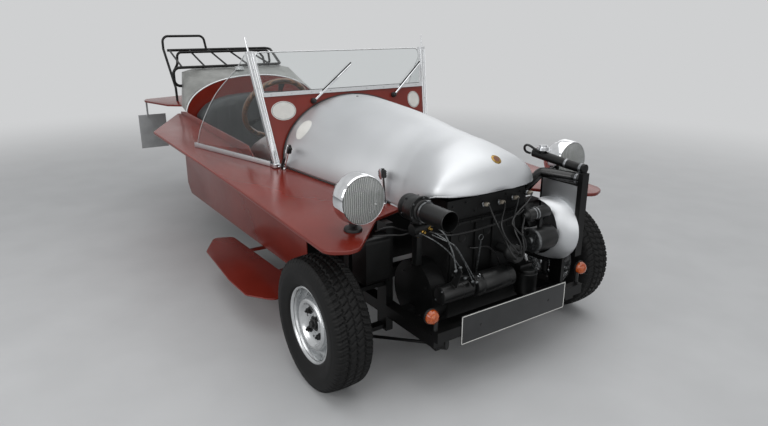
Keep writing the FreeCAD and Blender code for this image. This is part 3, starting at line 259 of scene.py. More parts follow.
NODE_FINISH = {
    "red": ["side_panel_right", "side_panel_left", "rear_bulkhead", "wing_right", "wing_left",
            "scuttle_panel", "tail_plate", "step_plates"],
    "sheet": ["bonnet", "dashboard", "radiator_cowl", "cheek_plates", "deflector_rails"],
    "deck": ["tail_deck"],
    "section": ["windscreen_frame"],
    "clear": ["windscreen_pane", "deflector_panes"],
    "enamel": ["floor_pan", "luggage_rack", "rear_fork", "rear_frame", "front_subframe", "steering_column",
               "suspension_arms", "radiator", "bonnet_catches", "tension_rods", "filler_neck"],
    "iron": ["engine_block", "rocker_cover", "knuckle_right", "knuckle_left"],
    "tin": ["starter_motor", "oil_filter", "dynamo", "distributor", "blower", "cooling_fan"],
    "hose": ["top_hose"],
    "cloth": ["seat_base", "seat_back"],
    "wood": ["steering_wheel"],
    "chrome": ["headlamp_bowls", "wiper_arms", "radiator_cap"],
    "bright": ["filler_cap"],
    "glass": ["headlamp_lenses"],
    "amber": ["indicators"],
    "tyre": ["tyre_front_right", "tyre_front_left", "tyre_rear"],
    "wheel": ["rim_front_right", "rim_front_left", "rim_rear"],
    "board": ["front_board"],
    "grey": ["tail_board"],
}


def add_piece(name, shape, finish, body=BODY, crease=35.0):
    """Puts a mesh, or a list of them as one, in the scene as a piece that rides on a body."""
    mesh = merged(shape) if isinstance(shape, list) else shape
    mesh.name = name
    mesh.materials.append(paint(finish))
    mesh.shade_smooth()
    mesh.set_sharp_from_angle(angle=math.radians(crease))
    piece = bpy.data.objects.new(name, mesh)
    bpy.context.scene.collection.objects.link(piece)
    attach(piece, body)
    return piece


def reshaped(mesh, change):
    """A mesh after change has worked on its shell."""
    shell = bmesh.new()
    shell.from_mesh(mesh)
    change(shell)
    shell.to_mesh(mesh)
    shell.free()
    return mesh


def mesh_of(points, faces):
    """A mesh whose faces all look outwards."""
    mesh = bpy.data.meshes.new("mesh")
    mesh.from_pydata([tuple(p) for p in points], [], faces)
    mesh.validate()
    return reshaped(mesh, lambda shell: bmesh.ops.recalc_face_normals(shell, faces=shell.faces))


def axis_matrix(centre, axis):
    """Local Z along axis, origin at centre."""
    turn = Vector(axis).to_track_quat("Z", "Y").to_matrix().to_4x4()
    return Matrix.Translation(Vector(centre)) @ turn


def lathed(profile, steps, matrix, closed):
    """Points and faces of a profile of (radius, height) turned about local Z."""
    points, faces = [], []
    rings = len(profile)
    for step in range(steps):
        angle = math.tau * step / steps
        for radius, height in profile:
            points.append(matrix @ Vector((radius * math.cos(angle), radius * math.sin(angle), height)))
    for step in range(steps):
        here, there = step * rings, ((step + 1) % steps) * rings
        for ring in range(rings if closed else rings - 1):
            after = (ring + 1) % rings
            faces.append((here + ring, there + ring, there + after, here + after))
    return points, faces


def turned_mesh(profile, centre, axis, steps=48, closed=False):
    """A turned shape: its profile's heights run from centre along axis."""
    points, faces = lathed(profile, steps, axis_matrix(centre, axis), closed)
    return reshaped(mesh_of(points, faces), lambda shell: bmesh.ops.remove_doubles(shell, verts=shell.verts,
                                                                                   dist=1e-6))


def merged(meshes):
    """Several meshes as one."""
    shell = bmesh.new()
    for mesh in meshes:
        shell.from_mesh(mesh)
        bpy.data.meshes.remove(mesh)
    whole = bpy.data.meshes.new("mesh")
    shell.to_mesh(whole)
    shell.free()
    return whole


def round_edges(shell, width, angle, segments, profile):
    """Rounds the edges of a shell that are sharper than angle."""
    edges = [e for e in shell.edges if len(e.link_faces) == 2 and e.calc_face_angle(0) > math.radians(angle)]
    bmesh.ops.bevel(shell, geom=edges, offset=width, segments=segments, profile=profile, affect="EDGES",
                    clamp_overlap=True)


def slab_mesh(outline, thick, matrix=Matrix(), round_over=0.0015):
    """A plate from a 2D outline, its thickness along local Z, with its edges rounded over."""
    count = len(outline)
    points = [matrix @ Vector((x, y, 0)) for x, y in outline]
    points += [matrix @ Vector((x, y, thick)) for x, y in outline]
    faces = [tuple(range(count - 1, -1, -1)), tuple(range(count, 2 * count))]
    faces += [(i, (i + 1) % count, count + (i + 1) % count, count + i) for i in range(count)]
    mesh = mesh_of(points, faces)
    if round_over:
        reshaped(mesh, lambda shell: round_edges(shell, round_over, 35.0, 2, 0.7))
    return mesh


def bent_slot(angle, reach, half_deep, half_sweep, count):
    """Outline of a slot that bends round a centre, at an angle and a reach from it."""
    outline = []
    for corner in range(count):
        around = math.tau * corner / count
        out, sweep = reach + half_deep * math.sin(around), angle + half_sweep * math.cos(around)
        outline.append((out * math.cos(sweep), out * math.sin(sweep)))
    return outline


def block_mesh(sizes, centre, round_over=0.003, turn=Matrix()):
    """A rounded block of these sizes about centre."""
    x, y, z = (s / 2 for s in sizes)
    outline = [(-x, -y), (x, -y), (x, y), (-x, y)]
    matrix = Matrix.Translation(Vector(centre)) @ turn @ Matrix.Translation((0, 0, -z))
    return slab_mesh(outline, 2 * z, matrix, round_over)


def pipe_mesh(points, radius, steps=10, smooth=True):
    """A round rod or pipe along a line through points."""
    curve = bpy.data.curves.new("line", "CURVE")
    curve.dimensions = "3D"
    curve.resolution_u = 8
    curve.bevel_depth = radius
    curve.bevel_resolution = max(1, steps // 4)
    curve.use_fill_caps = True
    spline = curve.splines.new("NURBS" if smooth else "POLY")
    spline.points.add(len(points) - 1)
    for spot, point in zip(spline.points, points):
        spot.co = (*point, 1.0)
    if smooth:
        spline.order_u = min(3, len(points))
        spline.use_endpoint_u = True
    holder = bpy.data.objects.new("line", curve)
    mesh = bpy.data.meshes.new_from_object(holder)
    bpy.data.objects.remove(holder)
    bpy.data.curves.remove(curve)
    return mesh


def route_mesh(route, radius, steps=8, smooth=True):
    """A pipe through points that are given from the front axle."""
    return pipe_mesh([at(*point) for point in route], radius, steps, smooth)


def hex_head(centre, axis, size, height):
    """A hexagon nut or bolt head on a washer."""
    head = turned_mesh([(0, height), (size * 0.48, height), (size * 0.55, height * 0.8), (size * 0.55, 0.0)],
                       centre, axis, 6)
    washer = turned_mesh([(size * 0.8, 0.0), (size * 0.8, size * 0.12), (0, size * 0.12)], centre, axis, 16)
    return merged([head, washer])


def smooth_between(knots, value):
    """Catmull-Rom value through (position, number, ...) knots at a position."""
    for index in range(len(knots) - 1):
        if value <= knots[index + 1][0] or index == len(knots) - 2:
            break
    a, b = knots[index], knots[index + 1]
    before = knots[index - 1] if index else a
    after = knots[index + 2] if index + 2 < len(knots) else b
    span = b[0] - a[0]
    t = min(max((value - a[0]) / span, 0.0), 1.0)
    result = []
    for column in range(1, len(a)):
        rise_a = (b[column] - before[column]) / (b[0] - before[0]) * span if b[0] != before[0] else 0
        rise_b = (after[column] - a[column]) / (after[0] - a[0]) * span if after[0] != a[0] else 0
        t2, t3 = t * t, t * t * t
        result.append((2 * t3 - 3 * t2 + 1) * a[column] + (t3 - 2 * t2 + t) * rise_a
                      + (3 * t2 - 2 * t3) * b[column] + (t3 - t2) * rise_b)
    return result


TREAD_HALF = 0.0565
TREAD_CROWN = 0.0042
SHOULDER_RADIUS = 0.2235
# the sidewall is drawn this much narrower than the tyre it was measured from
SIDEWALL_TRIM = 0.0055
# where the middle ribs end and the shoulder blocks begin
SHOULDER_LINE = 0.031
STEPS_A_PITCH = 8
# where the three zigzag grooves run, and half their width
GROOVE_LINES = ((-0.03, 0.0026), (0.0, 0.0018), (0.03, 0.0026))


def tyre_section(columns):
    """(across, radius, tread share) from one bead to the other."""
    side = [(0.0494, 0.1285), (0.052, 0.136), (0.0575, 0.1425), (0.062, 0.1462), (0.0655, 0.15),
            (0.0705, 0.16), (0.0752, 0.172), (0.0784, 0.184), (0.0789, 0.1925), (0.0786, 0.197),
            (0.0779, 0.199), (0.0778, 0.2055), (0.0765, 0.212), (0.0745, 0.219), (0.0725, 0.2255),
            (0.07, 0.2315), (0.0665, 0.2362)]
    side = [(t - SIDEWALL_TRIM * min(max((r - 0.145) / 0.02, 0.0), 1.0), r) for t, r in side]
    left = [(-t, r, 0.0 if r < SHOULDER_RADIUS else 1.0) for t, r in side]
    right = [(t, r, 0.0 if r < SHOULDER_RADIUS else 1.0) for t, r in reversed(side)]
    tread = []
    for index in range(columns):
        t = -TREAD_HALF + 2 * TREAD_HALF * index / (columns - 1)
        tread.append((t, TYRE_RADIUS - TREAD_CROWN * (t / TREAD_HALF) ** 2, 1.0))
    return left + tread + right


def groove(across, turn):
    """How deep the tread is cut there, 0 to 1; turn counts pitches."""
    def dip(offset, half, edge):
        offset = abs(offset)
        return 1.0 - min(max((offset - half) / edge, 0.0), 1.0)

    zigzag = abs((turn * 2) % 2 - 1) - 0.5
    cut = 0.0
    for line, width in GROOVE_LINES:
        cut = max(cut, dip(across - line - 0.004 * zigzag, width, 0.0012))
    if abs(across) > SHOULDER_LINE:
        lean = (abs(across) - SHOULDER_LINE) / 0.027
        local = (turn + 0.35 * lean) % 1.0
        cut = max(cut, dip(min(local, 1 - local), 0.11, 0.06))
        half_way = (turn + 0.35 * lean + 0.5) % 1.0
        cut = max(cut, 0.45 * dip(min(half_way, 1 - half_way), 0.03, 0.06))
    else:
        lean = across / 0.03
        local = (turn + 0.7 * lean + (0.5 if across > 0 else 0.0)) % 1.0
        cut = max(cut, 0.8 * dip(min(local, 1 - local), 0.06, 0.06))
    return cut


def tyre_mesh(pitches, centre, outward):
    """A tyre with zigzag grooves, slanted shoulder blocks and a stepped sidewall."""
    section = tyre_section(37)
    steps = pitches * STEPS_A_PITCH
    points, faces = [], []
    count = len(section)
    for step in range(steps):
        angle = math.tau * step / steps
        turn = step / STEPS_A_PITCH
        for index, (t, r, share) in enumerate(section):
            if share:
                depth = bpy.context.scene.car_wheels.groove * groove(t, turn)
                reach = min(max((r - SHOULDER_RADIUS) / 0.008, 0.0), 1.0)
                if abs(t) > TREAD_HALF:
                    depth *= 0.75 * reach
                    t, r = t - math.copysign(depth * 0.8, t), r - depth * 0.6
                else:
                    r -= depth
            points.append((centre[0] + r * math.cos(angle), centre[1] + outward * t,
                           centre[2] + r * math.sin(angle)))
    for step in range(steps):
        here, there = step * count, ((step + 1) % steps) * count
        for index in range(count - 1):
            faces.append((here + index, here + index + 1, there + index + 1, there + index))
        faces.append((here + count - 1, here, there, there + count - 1))
    return mesh_of(points, faces)


def cut_with(mesh, cutters):
    """mesh with the closed cutter meshes taken out of it."""
    base = bpy.data.objects.new("blank", mesh)
    tool = bpy.data.objects.new("cutter", merged(cutters))
    for item in (base, tool):
        bpy.context.scene.collection.objects.link(item)
    step = base.modifiers.new("cut", "BOOLEAN")
    step.operation, step.solver, step.object = "DIFFERENCE", "EXACT", tool
    depsgraph = bpy.context.evaluated_depsgraph_get()
    result = bpy.data.meshes.new_from_object(base.evaluated_get(depsgraph))
    for item in (base, tool):
        old = item.data
        bpy.data.objects.remove(item)
        bpy.data.meshes.remove(old)
    return result


def rim_mesh(centre, outward, slots):
    """A pressed steel wheel: lip, well, a raised ring round its face, slots and stud holes."""
    profile = [(0.14, 0.05), (0.1405, 0.056), (0.1385, 0.0575), (0.1345, 0.0572), (0.1312, 0.054),
               (0.1285, 0.048), (0.1262, 0.044), (0.1236, 0.033), (0.1228, 0.02), (0.1215, 0.014),
               (0.1165, 0.0125), (0.11, 0.015), (0.103, 0.022), (0.0975, 0.033), (0.095, 0.042),
               (0.0925, 0.048), (0.0885, 0.0508), (0.0835, 0.0512), (0.079, 0.05), (0.0755, 0.046),
               (0.0715, 0.04), (0.064, 0.034), (0.054, 0.031), (0.04, 0.03), (0.033, 0.0305), (0.03, 0.0325),
               (0.0275, 0.0315), (0.0275, 0.0275), (0.062, 0.03), (0.072, 0.0365), (0.079, 0.0465),
               (0.088, 0.0472), (0.0915, 0.039), (0.093, 0.019), (0.1, 0.0115), (0.109, 0.0085),
               (0.118, 0.008), (0.1255, 0.006), (0.1258, -0.044), (0.129, -0.05), (0.133, -0.056),
               (0.14, -0.057), (0.1405, -0.053), (0.1345, -0.052), (0.1283, -0.046), (0.1283, 0.044),
               (0.1345, 0.05)]
    axis = (0, outward, 0)
    turn = axis_matrix(centre, axis)
    mesh = turned_mesh(profile, centre, axis, 72, closed=True)
    cutters = []
    for index in range(slots):
        angle = math.tau * index / slots
        cutters.append(slab_mesh(bent_slot(angle, 0.1105, 0.0042, 0.11, 20), 0.03, turn, 0))
    for index in range(4):
        angle = math.tau * (index + 0.5) / 4
        spot = turn @ Vector((0.0545 * math.cos(angle + 0.6), 0.0545 * math.sin(angle + 0.6), 0.02))
        cutters.append(turned_mesh([(0, 0), (0.0045, 0), (0.0045, 0.03), (0, 0.03)], spot, axis, 12))
    return cut_with(mesh, cutters)


def hub_meshes(centre, outward):
    """The stud nuts as one mesh, and the cap in the middle of a wheel."""
    axis = (0, outward, 0)
    turn = axis_matrix(centre, axis)
    nuts = []
    for index in range(4):
        angle = math.tau * (index + 0.5) / 4
        spot = turn @ Vector((0.0508 * math.cos(angle), 0.0508 * math.sin(angle), 0.0325))
        nuts.append(turned_mesh([(0, 0.013), (0.0062, 0.0125), (0.0098, 0.01), (0.0104, 0.0)], spot, axis, 6))
        nuts.append(turned_mesh([(0.0104, 0.0012), (0.0128, 0.0006), (0.0136, -0.002)], spot, axis, 24))
        nuts.append(turned_mesh([(0, 0.017), (0.0042, 0.0165), (0.0048, 0.012)], spot, axis, 12))
    cap = turned_mesh([(0, 0.049), (0.011, 0.0485), (0.0125, 0.047), (0.0128, 0.04), (0.019, 0.0395),
                       (0.0205, 0.038), (0.021, 0.031), (0.0262, 0.03), (0.0272, 0.022)], centre, axis, 12)
    return merged(nuts), cap


WHEELS = (("front_right", "wheel_front_right", -1), ("front_left", "wheel_front_left", 1),
          ("rear", "wheel_rear", 1))


def build_wheels(pitches, slots):
    """The tyres, pressed wheels, nuts, caps and valves."""
    for label, body, outward in WHEELS:
        centre = Vector([(a + b) / 2 for a, b in zip(*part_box(f"tyre_{label}"))])
        tyre = add_piece(f"treaded_tyre_{label}", tyre_mesh(pitches, centre, outward), "tyre", body,
                         crease=50)
        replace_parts(tyre, f"tyre_{label}")
        rim = add_piece(f"pressed_wheel_{label}", rim_mesh(centre, outward, slots), "wheel", body, crease=40)
        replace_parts(rim, f"rim_{label}")
        nuts, cap = hub_meshes(centre, outward)
        add_piece(f"wheel_nuts_{label}", nuts, "enamel", body)
        add_piece(f"hub_cap_{label}", cap, "rubber", body)
        stem_spot = axis_matrix(centre, (0, outward, 0)) @ Vector((0.104, 0.02, 0.012))
        stem = turned_mesh([(0, 0.026), (0.003, 0.026), (0.0033, 0.016), (0.0045, 0.014), (0.0052, 0.0)],
                           stem_spot, (0, outward, 0.15), 10)
        add_piece(f"valve_stem_{label}", stem, "rubber", body)


BONNET_KNOTS = [
    # back from the front axle, half width, top
    (-0.229, 0.06, 0.696), (-0.22, 0.128, 0.725), (-0.205, 0.176, 0.752), (-0.185, 0.212, 0.774),
    (-0.16, 0.236, 0.794), (-0.13, 0.2455, 0.81), (-0.09, 0.2475, 0.826), (-0.05, 0.246, 0.838),
    (0.01, 0.244, 0.8475), (0.05, 0.243, 0.8545), (0.13, 0.249, 0.865), (0.25, 0.28, 0.882),
    (0.41, 0.324, 0.898), (0.6, 0.362, 0.911), (0.8, 0.4, 0.922),
]
BONNET_LIP = 0.68
BONNET_NOSE = -0.2285
BONNET_SKIN = 0.0022
# exponent of the oval that the bonnet's section follows: 2 is an ellipse
BONNET_OVAL = 1.95
SCREEN_FOOT = (-0.75, 0.641)
SCREEN_RAKE = math.radians(13.4)


def bonnet_base(back):
    """Lower edge: along the wing, then up to the lip."""
    if back > 0.05:
        return deck_z(-back) + 0.0012
    if back < -0.16:
        return BONNET_LIP
    low = deck_z(-0.05) + 0.0012
    return low + (BONNET_LIP - low) * (0.05 - back) / 0.21


def bonnet_point(back, angle):
    """A point of the skin: back from the front axle, and angle round its section from the left edge."""
    half, top = smooth_between(BONNET_KNOTS, back)
    base = bonnet_base(back)
    c, s = math.cos(angle), math.sin(angle)
    y = half * math.copysign(abs(c) ** (2 / BONNET_OVAL), c)
    z = base + (top - base) * abs(s) ** (2 / BONNET_OVAL)
    return Vector((-back, y, z))


def bonnet_rear(angle):
    """Where the skin meets the raked plane just in front of the screen."""
    back = 0.72
    for _ in range(12):
        z = bonnet_point(back, angle).z
        back = -(SCREEN_FOOT[0] + 0.0095 - math.tan(SCREEN_RAKE) * (z - SCREEN_FOOT[1]))
    return back


def build_bonnet():
    """The formed skin with its closed nose."""
    around, along = 72, 84
    points, faces = [], []
    for ring in range(along + 1):
        share = ring / along
        for spot in range(around + 1):
            angle = math.pi * spot / around
            rear = bonnet_rear(angle)
            ease = share ** 1.25
            back = BONNET_NOSE + (rear - BONNET_NOSE) * ease
            points.append(bonnet_point(back, angle) + Vector((AXLE_X, 0, 0)))
    row = around + 1
    for ring in range(along):
        for spot in range(around):
            a = ring * row + spot
            faces.append((a, a + 1, a + 1 + row, a + row))
    tip = len(points)
    points.append(at(0.2296, 0, BONNET_LIP + 0.004))
    for spot in range(around):
        faces.append((spot + 1, spot, tip))
    mesh = mesh_of(points, faces)
    skin = add_piece("formed_bonnet", mesh, "sheet", BONNET, crease=60)
    solid = skin.modifiers.new("sheet", "SOLIDIFY")
    solid.thickness, solid.offset = BONNET_SKIN, -1.0
    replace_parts(skin, "bonnet")


def add_bonnet_edges():
    """The wired front edge, rubber seals along the wings, and edging in front of the screen."""
    edge = []
    for ring in range(0, 41):
        back = -0.2265 + (0.7 + 0.2265) * ring / 40
        edge.append(bonnet_point(back, 0.0) + Vector((AXLE_X, 0, 0)))
    front = edge[:15]
    bead_points = [Vector((p.x, -p.y, p.z)) for p in reversed(front)] + front[1:]
    bead = pipe_mesh(bead_points, 0.003, 8)
    add_piece("bonnet_wired_edge", bead, "sheet", BONNET)
    seals = [pipe_mesh([Vector((p.x, side * p.y, p.z)) for p in edge[14:]], 0.003, 8) for side in (-1, 1)]
    add_piece("bonnet_side_seals", seals, "rubber", BONNET)
    rear_edge = [bonnet_point(bonnet_rear(math.pi * k / 40), math.pi * k / 40)
                 + Vector((AXLE_X + 0.002, 0, 0.001)) for k in range(41)]
    trim = pipe_mesh(rear_edge, 0.0035, 8)
    add_piece("bonnet_rear_edging", trim, "rubber", BONNET)


def add_bonnet_discs():
    """The blank discs on nose and side, and the rear screw."""
    nose_disc = oval_on_bonnet((0.175, 0.026), 0.0205, 0.0205, 0.0018)
    add_piece("blank_nose_disc", nose_disc, "brass", BONNET)
    inner_disc = oval_on_bonnet((0.175, 0.026), 0.0145, 0.0145, 0.0026)
    add_piece("blank_nose_inset", inner_disc, "brown", BONNET)
    spot, _, _, outward = bonnet_frame(-0.735, 0.0)
    button = turned_mesh([(0, 0.0022), (0.0035, 0.002), (0.006, 0.001), (0.0068, -0.0006)],
                         at(spot.x, spot.y, spot.z), outward, 20)
    add_piece("bonnet_rear_screw", button, "rubber", BONNET)
    side_disc = oval_on_bonnet((-0.699, -0.302), 0.038, 0.05, 0.0012)
    add_piece("blank_bonnet_disc", side_disc, "white", BONNET)


def bonnet_frame(x, y):
    """The skin above a place in plan: a point, its directions along and across, and outwards."""
    def height(px, py):
        low, high = 0.0, math.pi / 2
        for _ in range(40):
            mid = (low + high) / 2
            if bonnet_point(-px, mid).y > abs(py):
                low = mid
            else:
                high = mid
        return bonnet_point(-px, low).z

    step = 0.004
    here = Vector((x, y, height(x, y)))
    along = Vector((2 * step, 0, height(x + step, y) - height(x - step, y))).normalized()
    across = Vector((0, 2 * step, height(x, y + step) - height(x, y - step))).normalized()
    return here, along, across, along.cross(across).normalized()


def oval_on_bonnet(spot, half_along, half_across, proud):
    """A thin disc that follows the skin."""
    here, along, across, _ = bonnet_frame(*spot)
    rings, steps = 5, 40
    points, faces = [], []
    for ring in range(rings + 1):
        share = ring / rings
        for step in range(steps):
            angle = math.tau * step / steps
            flat = here + along * (half_along * share * math.cos(angle)) \
                + across * (half_across * share * math.sin(angle))
            on_skin, _, _, normal = bonnet_frame(flat.x, flat.y)
            lift = proud if ring < rings else proud * 0.1
            points.append(on_skin + normal * lift + Vector((AXLE_X, 0, 0)))
    for ring in range(rings):
        for step in range(steps):
            a, b = ring * steps + step, ring * steps + (step + 1) % steps
            faces.append((a, b, b + steps, a + steps))
    return mesh_of(points, faces)


CATCHES = (
    # name, foot (forward, out), head (forward, out, up)
    ("rear", (-0.712, 0.402), (-0.668, 0.388, 0.722)),
    ("front", (-0.118, 0.262), (-0.132, 0.2545, 0.704)),
)


def add_catch(side, label, name, foot, head):
    """A toggle catch: bright stem and strap, ribbed rubber clip, pull rod and foot; returns the foot."""
    low = at(foot[0], side * foot[1], deck_z(foot[0]) + 0.001)
    high = at(head[0], side * (head[1] + 0.006), head[2])
    run = (high - low).normalized()
    out = Vector((0, side, 0.25)).normalized()
    across = run.cross(out).normalized()
    out = across.cross(run).normalized()
    turn = Matrix((across, out, run)).transposed().to_4x4()

    def spot(share, beside, proud, up):
        return low.lerp(high, share) + across * beside + out * proud + run * up

    stems = [pipe_mesh([spot(0, s * 0.0065, 0, 0.006), spot(0.5, s * 0.007, 0, 0),
                        spot(1, s * 0.006, 0, -0.01)], 0.003, 8) for s in (-1, 1)]
    stems.append(block_mesh((0.01, 0.0022, (high - low).length * 0.55), spot(0.55, 0, 0, 0), 0.0008, turn))
    add_piece(f"catch_stem_{name}", stems, "chrome", BONNET)
    clip = [block_mesh((0.029, 0.017, 0.031), high, 0.0035, turn)]
    clip += [block_mesh((0.031, 0.0192, 0.0036), spot(1, 0, 0, k * 0.0078), 0.001, turn) for k in (-1, 0, 1)]
    clip.append(block_mesh((0.014, 0.009, 0.01), spot(1, 0, -0.002, 0.0155), 0.002, turn))
    strap = block_mesh((0.012, 0.003, 0.04), spot(1, 0, 0.0092, 0), 0.0009, turn)
    add_piece(f"catch_strap_{name}", strap, "chrome", BONNET)
    add_piece(f"catch_clip_{name}", clip, "rubber", BONNET)
    if label == "rear":
        rod = pipe_mesh([spot(0, 0.004, 0.01, 0.004), spot(0, 0.003, 0.014, 0.03),
                         spot(0, 0.003, 0.011, 0.06)], 0.0062, 12)
    else:
        rod = pipe_mesh([spot(0, 0.012, 0.004, 0.004), spot(0.5, 0.0135, 0.005, 0),
                         spot(1, 0.011, 0.004, -0.004)], 0.0036, 10)
    add_piece(f"catch_pull_{name}", [rod], "rubber", BONNET)
    base = turned_mesh([(0, 0.009), (0.008, 0.009), (0.0105, 0.006), (0.0115, 0.0005)], low,
                       (WING_FALL, 0, 1), 20)
    return add_piece(f"catch_base_{name}", base, "chrome", BONNET)


def build_catches():
    """Four catches; the right rear one stands for the node."""
    for side, hand in SIDES:
        for label, foot, head in CATCHES:
            shoe = add_catch(side, label, f"{label}_{hand}", foot, head)
            if side < 0 and label == "rear":
                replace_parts(shoe, "bonnet_catches")


LAMP_FRONT, LAMP_HALF, LAMP_HEIGHT = 0.125, 0.505, 0.702
# the lens is a cap of a sphere whose middle is behind the lamp's own
LENS_SPHERE, LENS_MIDDLE, LENS_RADIUS, LENS_THICK = 0.24, -0.224, 0.0786, 0.0035
LAMP_BOWL = [(0, -0.1248), (0.014, -0.1238), (0.028, -0.12), (0.043, -0.1115), (0.056, -0.101),
             (0.067, -0.0885), (0.076, -0.074), (0.081, -0.062), (0.084, -0.052)]
LAMP_RIM = [(0.0835, -0.053), (0.0862, -0.052), (0.0878, -0.049), (0.088, -0.044), (0.0877, -0.036),
            (0.0868, -0.024), (0.0856, -0.013), (0.0842, -0.006), (0.0825, -0.0005), (0.0808, 0.0022),
            (0.0797, 0.0018), (0.0792, -0.001), (0.079, -0.006)]


def add_headlamp(side, name):
    """Bowl and rim, lens, seal, reflector, bulb, pedestal and rim screw; returns the bowl and the lens."""
    centre = at(LAMP_FRONT, side * LAMP_HALF, LAMP_HEIGHT)
    bowl = turned_mesh(LAMP_BOWL, centre, FORWARD, 64)
    rim = turned_mesh(LAMP_RIM, centre, FORWARD, 64)
    whole = add_piece(f"headlamp_shell_{name}", [bowl, rim], "chrome", crease=60)
    radii = [LENS_RADIUS * k / 12 for k in range(13)]
    lens_front = [(r, LENS_MIDDLE + math.sqrt(LENS_SPHERE ** 2 - r * r)) for r in radii]
    lens_back = [(r, t - LENS_THICK) for r, t in reversed(lens_front)]
    lens = add_piece(f"headlamp_lens_{name}", turned_mesh(lens_front + lens_back, centre, FORWARD, 64),
                     "glass", crease=60)
    seal = [(0.0776 + 0.0017 * math.cos(math.tau * k / 8), 0.0006 + 0.0017 * math.sin(math.tau * k / 8))
            for k in range(8)]
    add_piece(f"headlamp_seal_{name}", turned_mesh(seal, centre, FORWARD, 64, True), "rubber", crease=60)
    reflector = [(0.0782 * (1 - k / 14), -0.008 - 0.06 * (1 - (1 - k / 14) ** 2)) for k in range(13)]
    reflector.append((0.01, -0.0682))
    add_piece(f"headlamp_reflector_{name}", turned_mesh(reflector, centre, FORWARD, 48), "reflector",
              crease=60)
    bulb = turned_mesh([(0, -0.028), (0.006, -0.029), (0.01, -0.034), (0.0105, -0.046), (0.01, -0.07)],
                       centre, FORWARD, 20)
    add_piece(f"headlamp_bulb_{name}", bulb, "chrome")
    foot_top = at(LAMP_FRONT - 0.07, side * LAMP_HALF, LAMP_HEIGHT - 0.066)
    ground = at(LAMP_FRONT - 0.07, side * LAMP_HALF, deck_z(LAMP_FRONT - 0.07) + 0.0005)
    pedestal = turned_mesh([(0.012, foot_top.z - ground.z), (0.0135, 0.018), (0.021, 0.0125), (0.03, 0.0095),
                            (0.032, 0.004), (0.032, 0.0)], ground, (WING_FALL, 0, 1), 32)
    add_piece(f"headlamp_pedestal_{name}", pedestal, "rubber")
    clamp_screw = turned_mesh([(0, 0.006), (0.0032, 0.005), (0.0042, 0.001), (0.0044, -0.006)],
                              at(LAMP_FRONT - 0.03, side * LAMP_HALF, LAMP_HEIGHT - 0.0865), (0, 0, -1), 12)
    add_piece(f"lamp_rim_screw_{name}", clamp_screw, "steel")
    return whole, lens


def build_headlamps():
    """Both headlamps; the right one stands for the nodes."""
    for side, name in SIDES:
        whole, lens = add_headlamp(side, name)
        if side < 0:
            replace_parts(whole, "headlamp_bowls")
            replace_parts(lens, "headlamp_lenses")


def build_indicators():
    """Amber lenses in their cups on their stalks."""
    for side, name in SIDES:
        centre = at(0.32, side * 0.37, 0.331)
        lens = turned_mesh([(0, 0.0258), (0.007, 0.0252), (0.0135, 0.0225), (0.019, 0.018), (0.0225, 0.012),
                            (0.0252, 0.004), (0.0252, 0.0)], centre, FORWARD, 32)
        shown = add_piece(f"indicator_lens_{name}", lens, "amber", crease=50)
        cup = turned_mesh([(0.0252, 0.0015), (0.0272, 0.0025), (0.028, -0.001), (0.0272, -0.006),
                           (0.0235, -0.0095), (0.013, -0.01), (0.0, -0.01)], centre, FORWARD, 32)
        add_piece(f"indicator_cup_{name}", cup, "rubber")
        bolt = pipe_mesh([at(0.322, side * 0.352, 0.2756), at(0.322, side * 0.352, 0.318)], 0.008, 12, False)
        add_piece(f"indicator_stalk_{name}", bolt, "rubber")
        if side < 0:
            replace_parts(shown, "indicators")


def build_plates():
    """The bare front plate, its thin border and its two screws."""
    low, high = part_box("front_board")
    x = high[0] - 0.0016
    y0, y1, z0, z1 = low[1], high[1], low[2], high[2]
    board = block_mesh((x - low[0], y1 - y0, z1 - z0), ((low[0] + x) / 2, 0, (z0 + z1) / 2), 0.0004)
    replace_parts(add_piece("bare_front_plate", board, "board"), "front_board")
    inset, band = 0.0035, 0.003
    corners = [(y0 + inset, z0 + inset), (y1 - inset, z0 + inset), (y1 - inset, z1 - inset),
               (y0 + inset, z1 - inset)]
    border = [block_mesh((0.0012, max(abs(q[0] - p[0]), 0) + band, max(abs(q[1] - p[1]), 0) + band),
                         (x + 0.0004, (p[0] + q[0]) / 2, (p[1] + q[1]) / 2), 0.0004)
              for p, q in zip(corners, corners[1:] + corners[:1])]
    add_piece("front_plate_border", border, "white")
    screws = [turned_mesh([(0, 0.0015), (0.004, 0.0012), (0.0058, 0.0002)], (x, side * 0.17, (z0 + z1) / 2),
                          FORWARD, 16) for side in (-1, 1)]
    add_piece("front_plate_screws", screws, "rubber")


def sew_channels(mesh, direction, spacing, start, stop, depth, width, faces_up):
    """Presses sewn channels into the side of a pad that looks along faces_up."""
    for vertex in mesh.vertices:
        along = vertex.co.dot(direction)
        if start <= along <= stop and vertex.normal.dot(faces_up) > 0.3:
            offset = abs((along - start) % spacing - spacing / 2) - (spacing / 2 - width)
            if offset > 0:
                vertex.co -= faces_up * depth * min(offset / width, 1.0) ** 2


PAD_PRESSURE = 3.0
PAD_VOXEL = 0.012
PAD_FRAMES = 15
CHANNEL_DEPTH, CHANNEL_WIDTH = 0.009, 0.012


def add_pad(name, node, mesh, cap, margin, facing, spacing):
    """A swelled pad with sewn channels on the side that looks along facing."""
    low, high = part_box(node)
    mesh = swollen_mesh(mesh, cap)
    sew_channels(mesh, LEFT, spacing, low[1] + margin, high[1] - margin, CHANNEL_DEPTH, CHANNEL_WIDTH, facing)
    pad = add_piece(name, mesh, "cloth", crease=80)
    pad.modifiers.new("smooth", "SUBSURF").levels = 1
    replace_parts(pad, node)


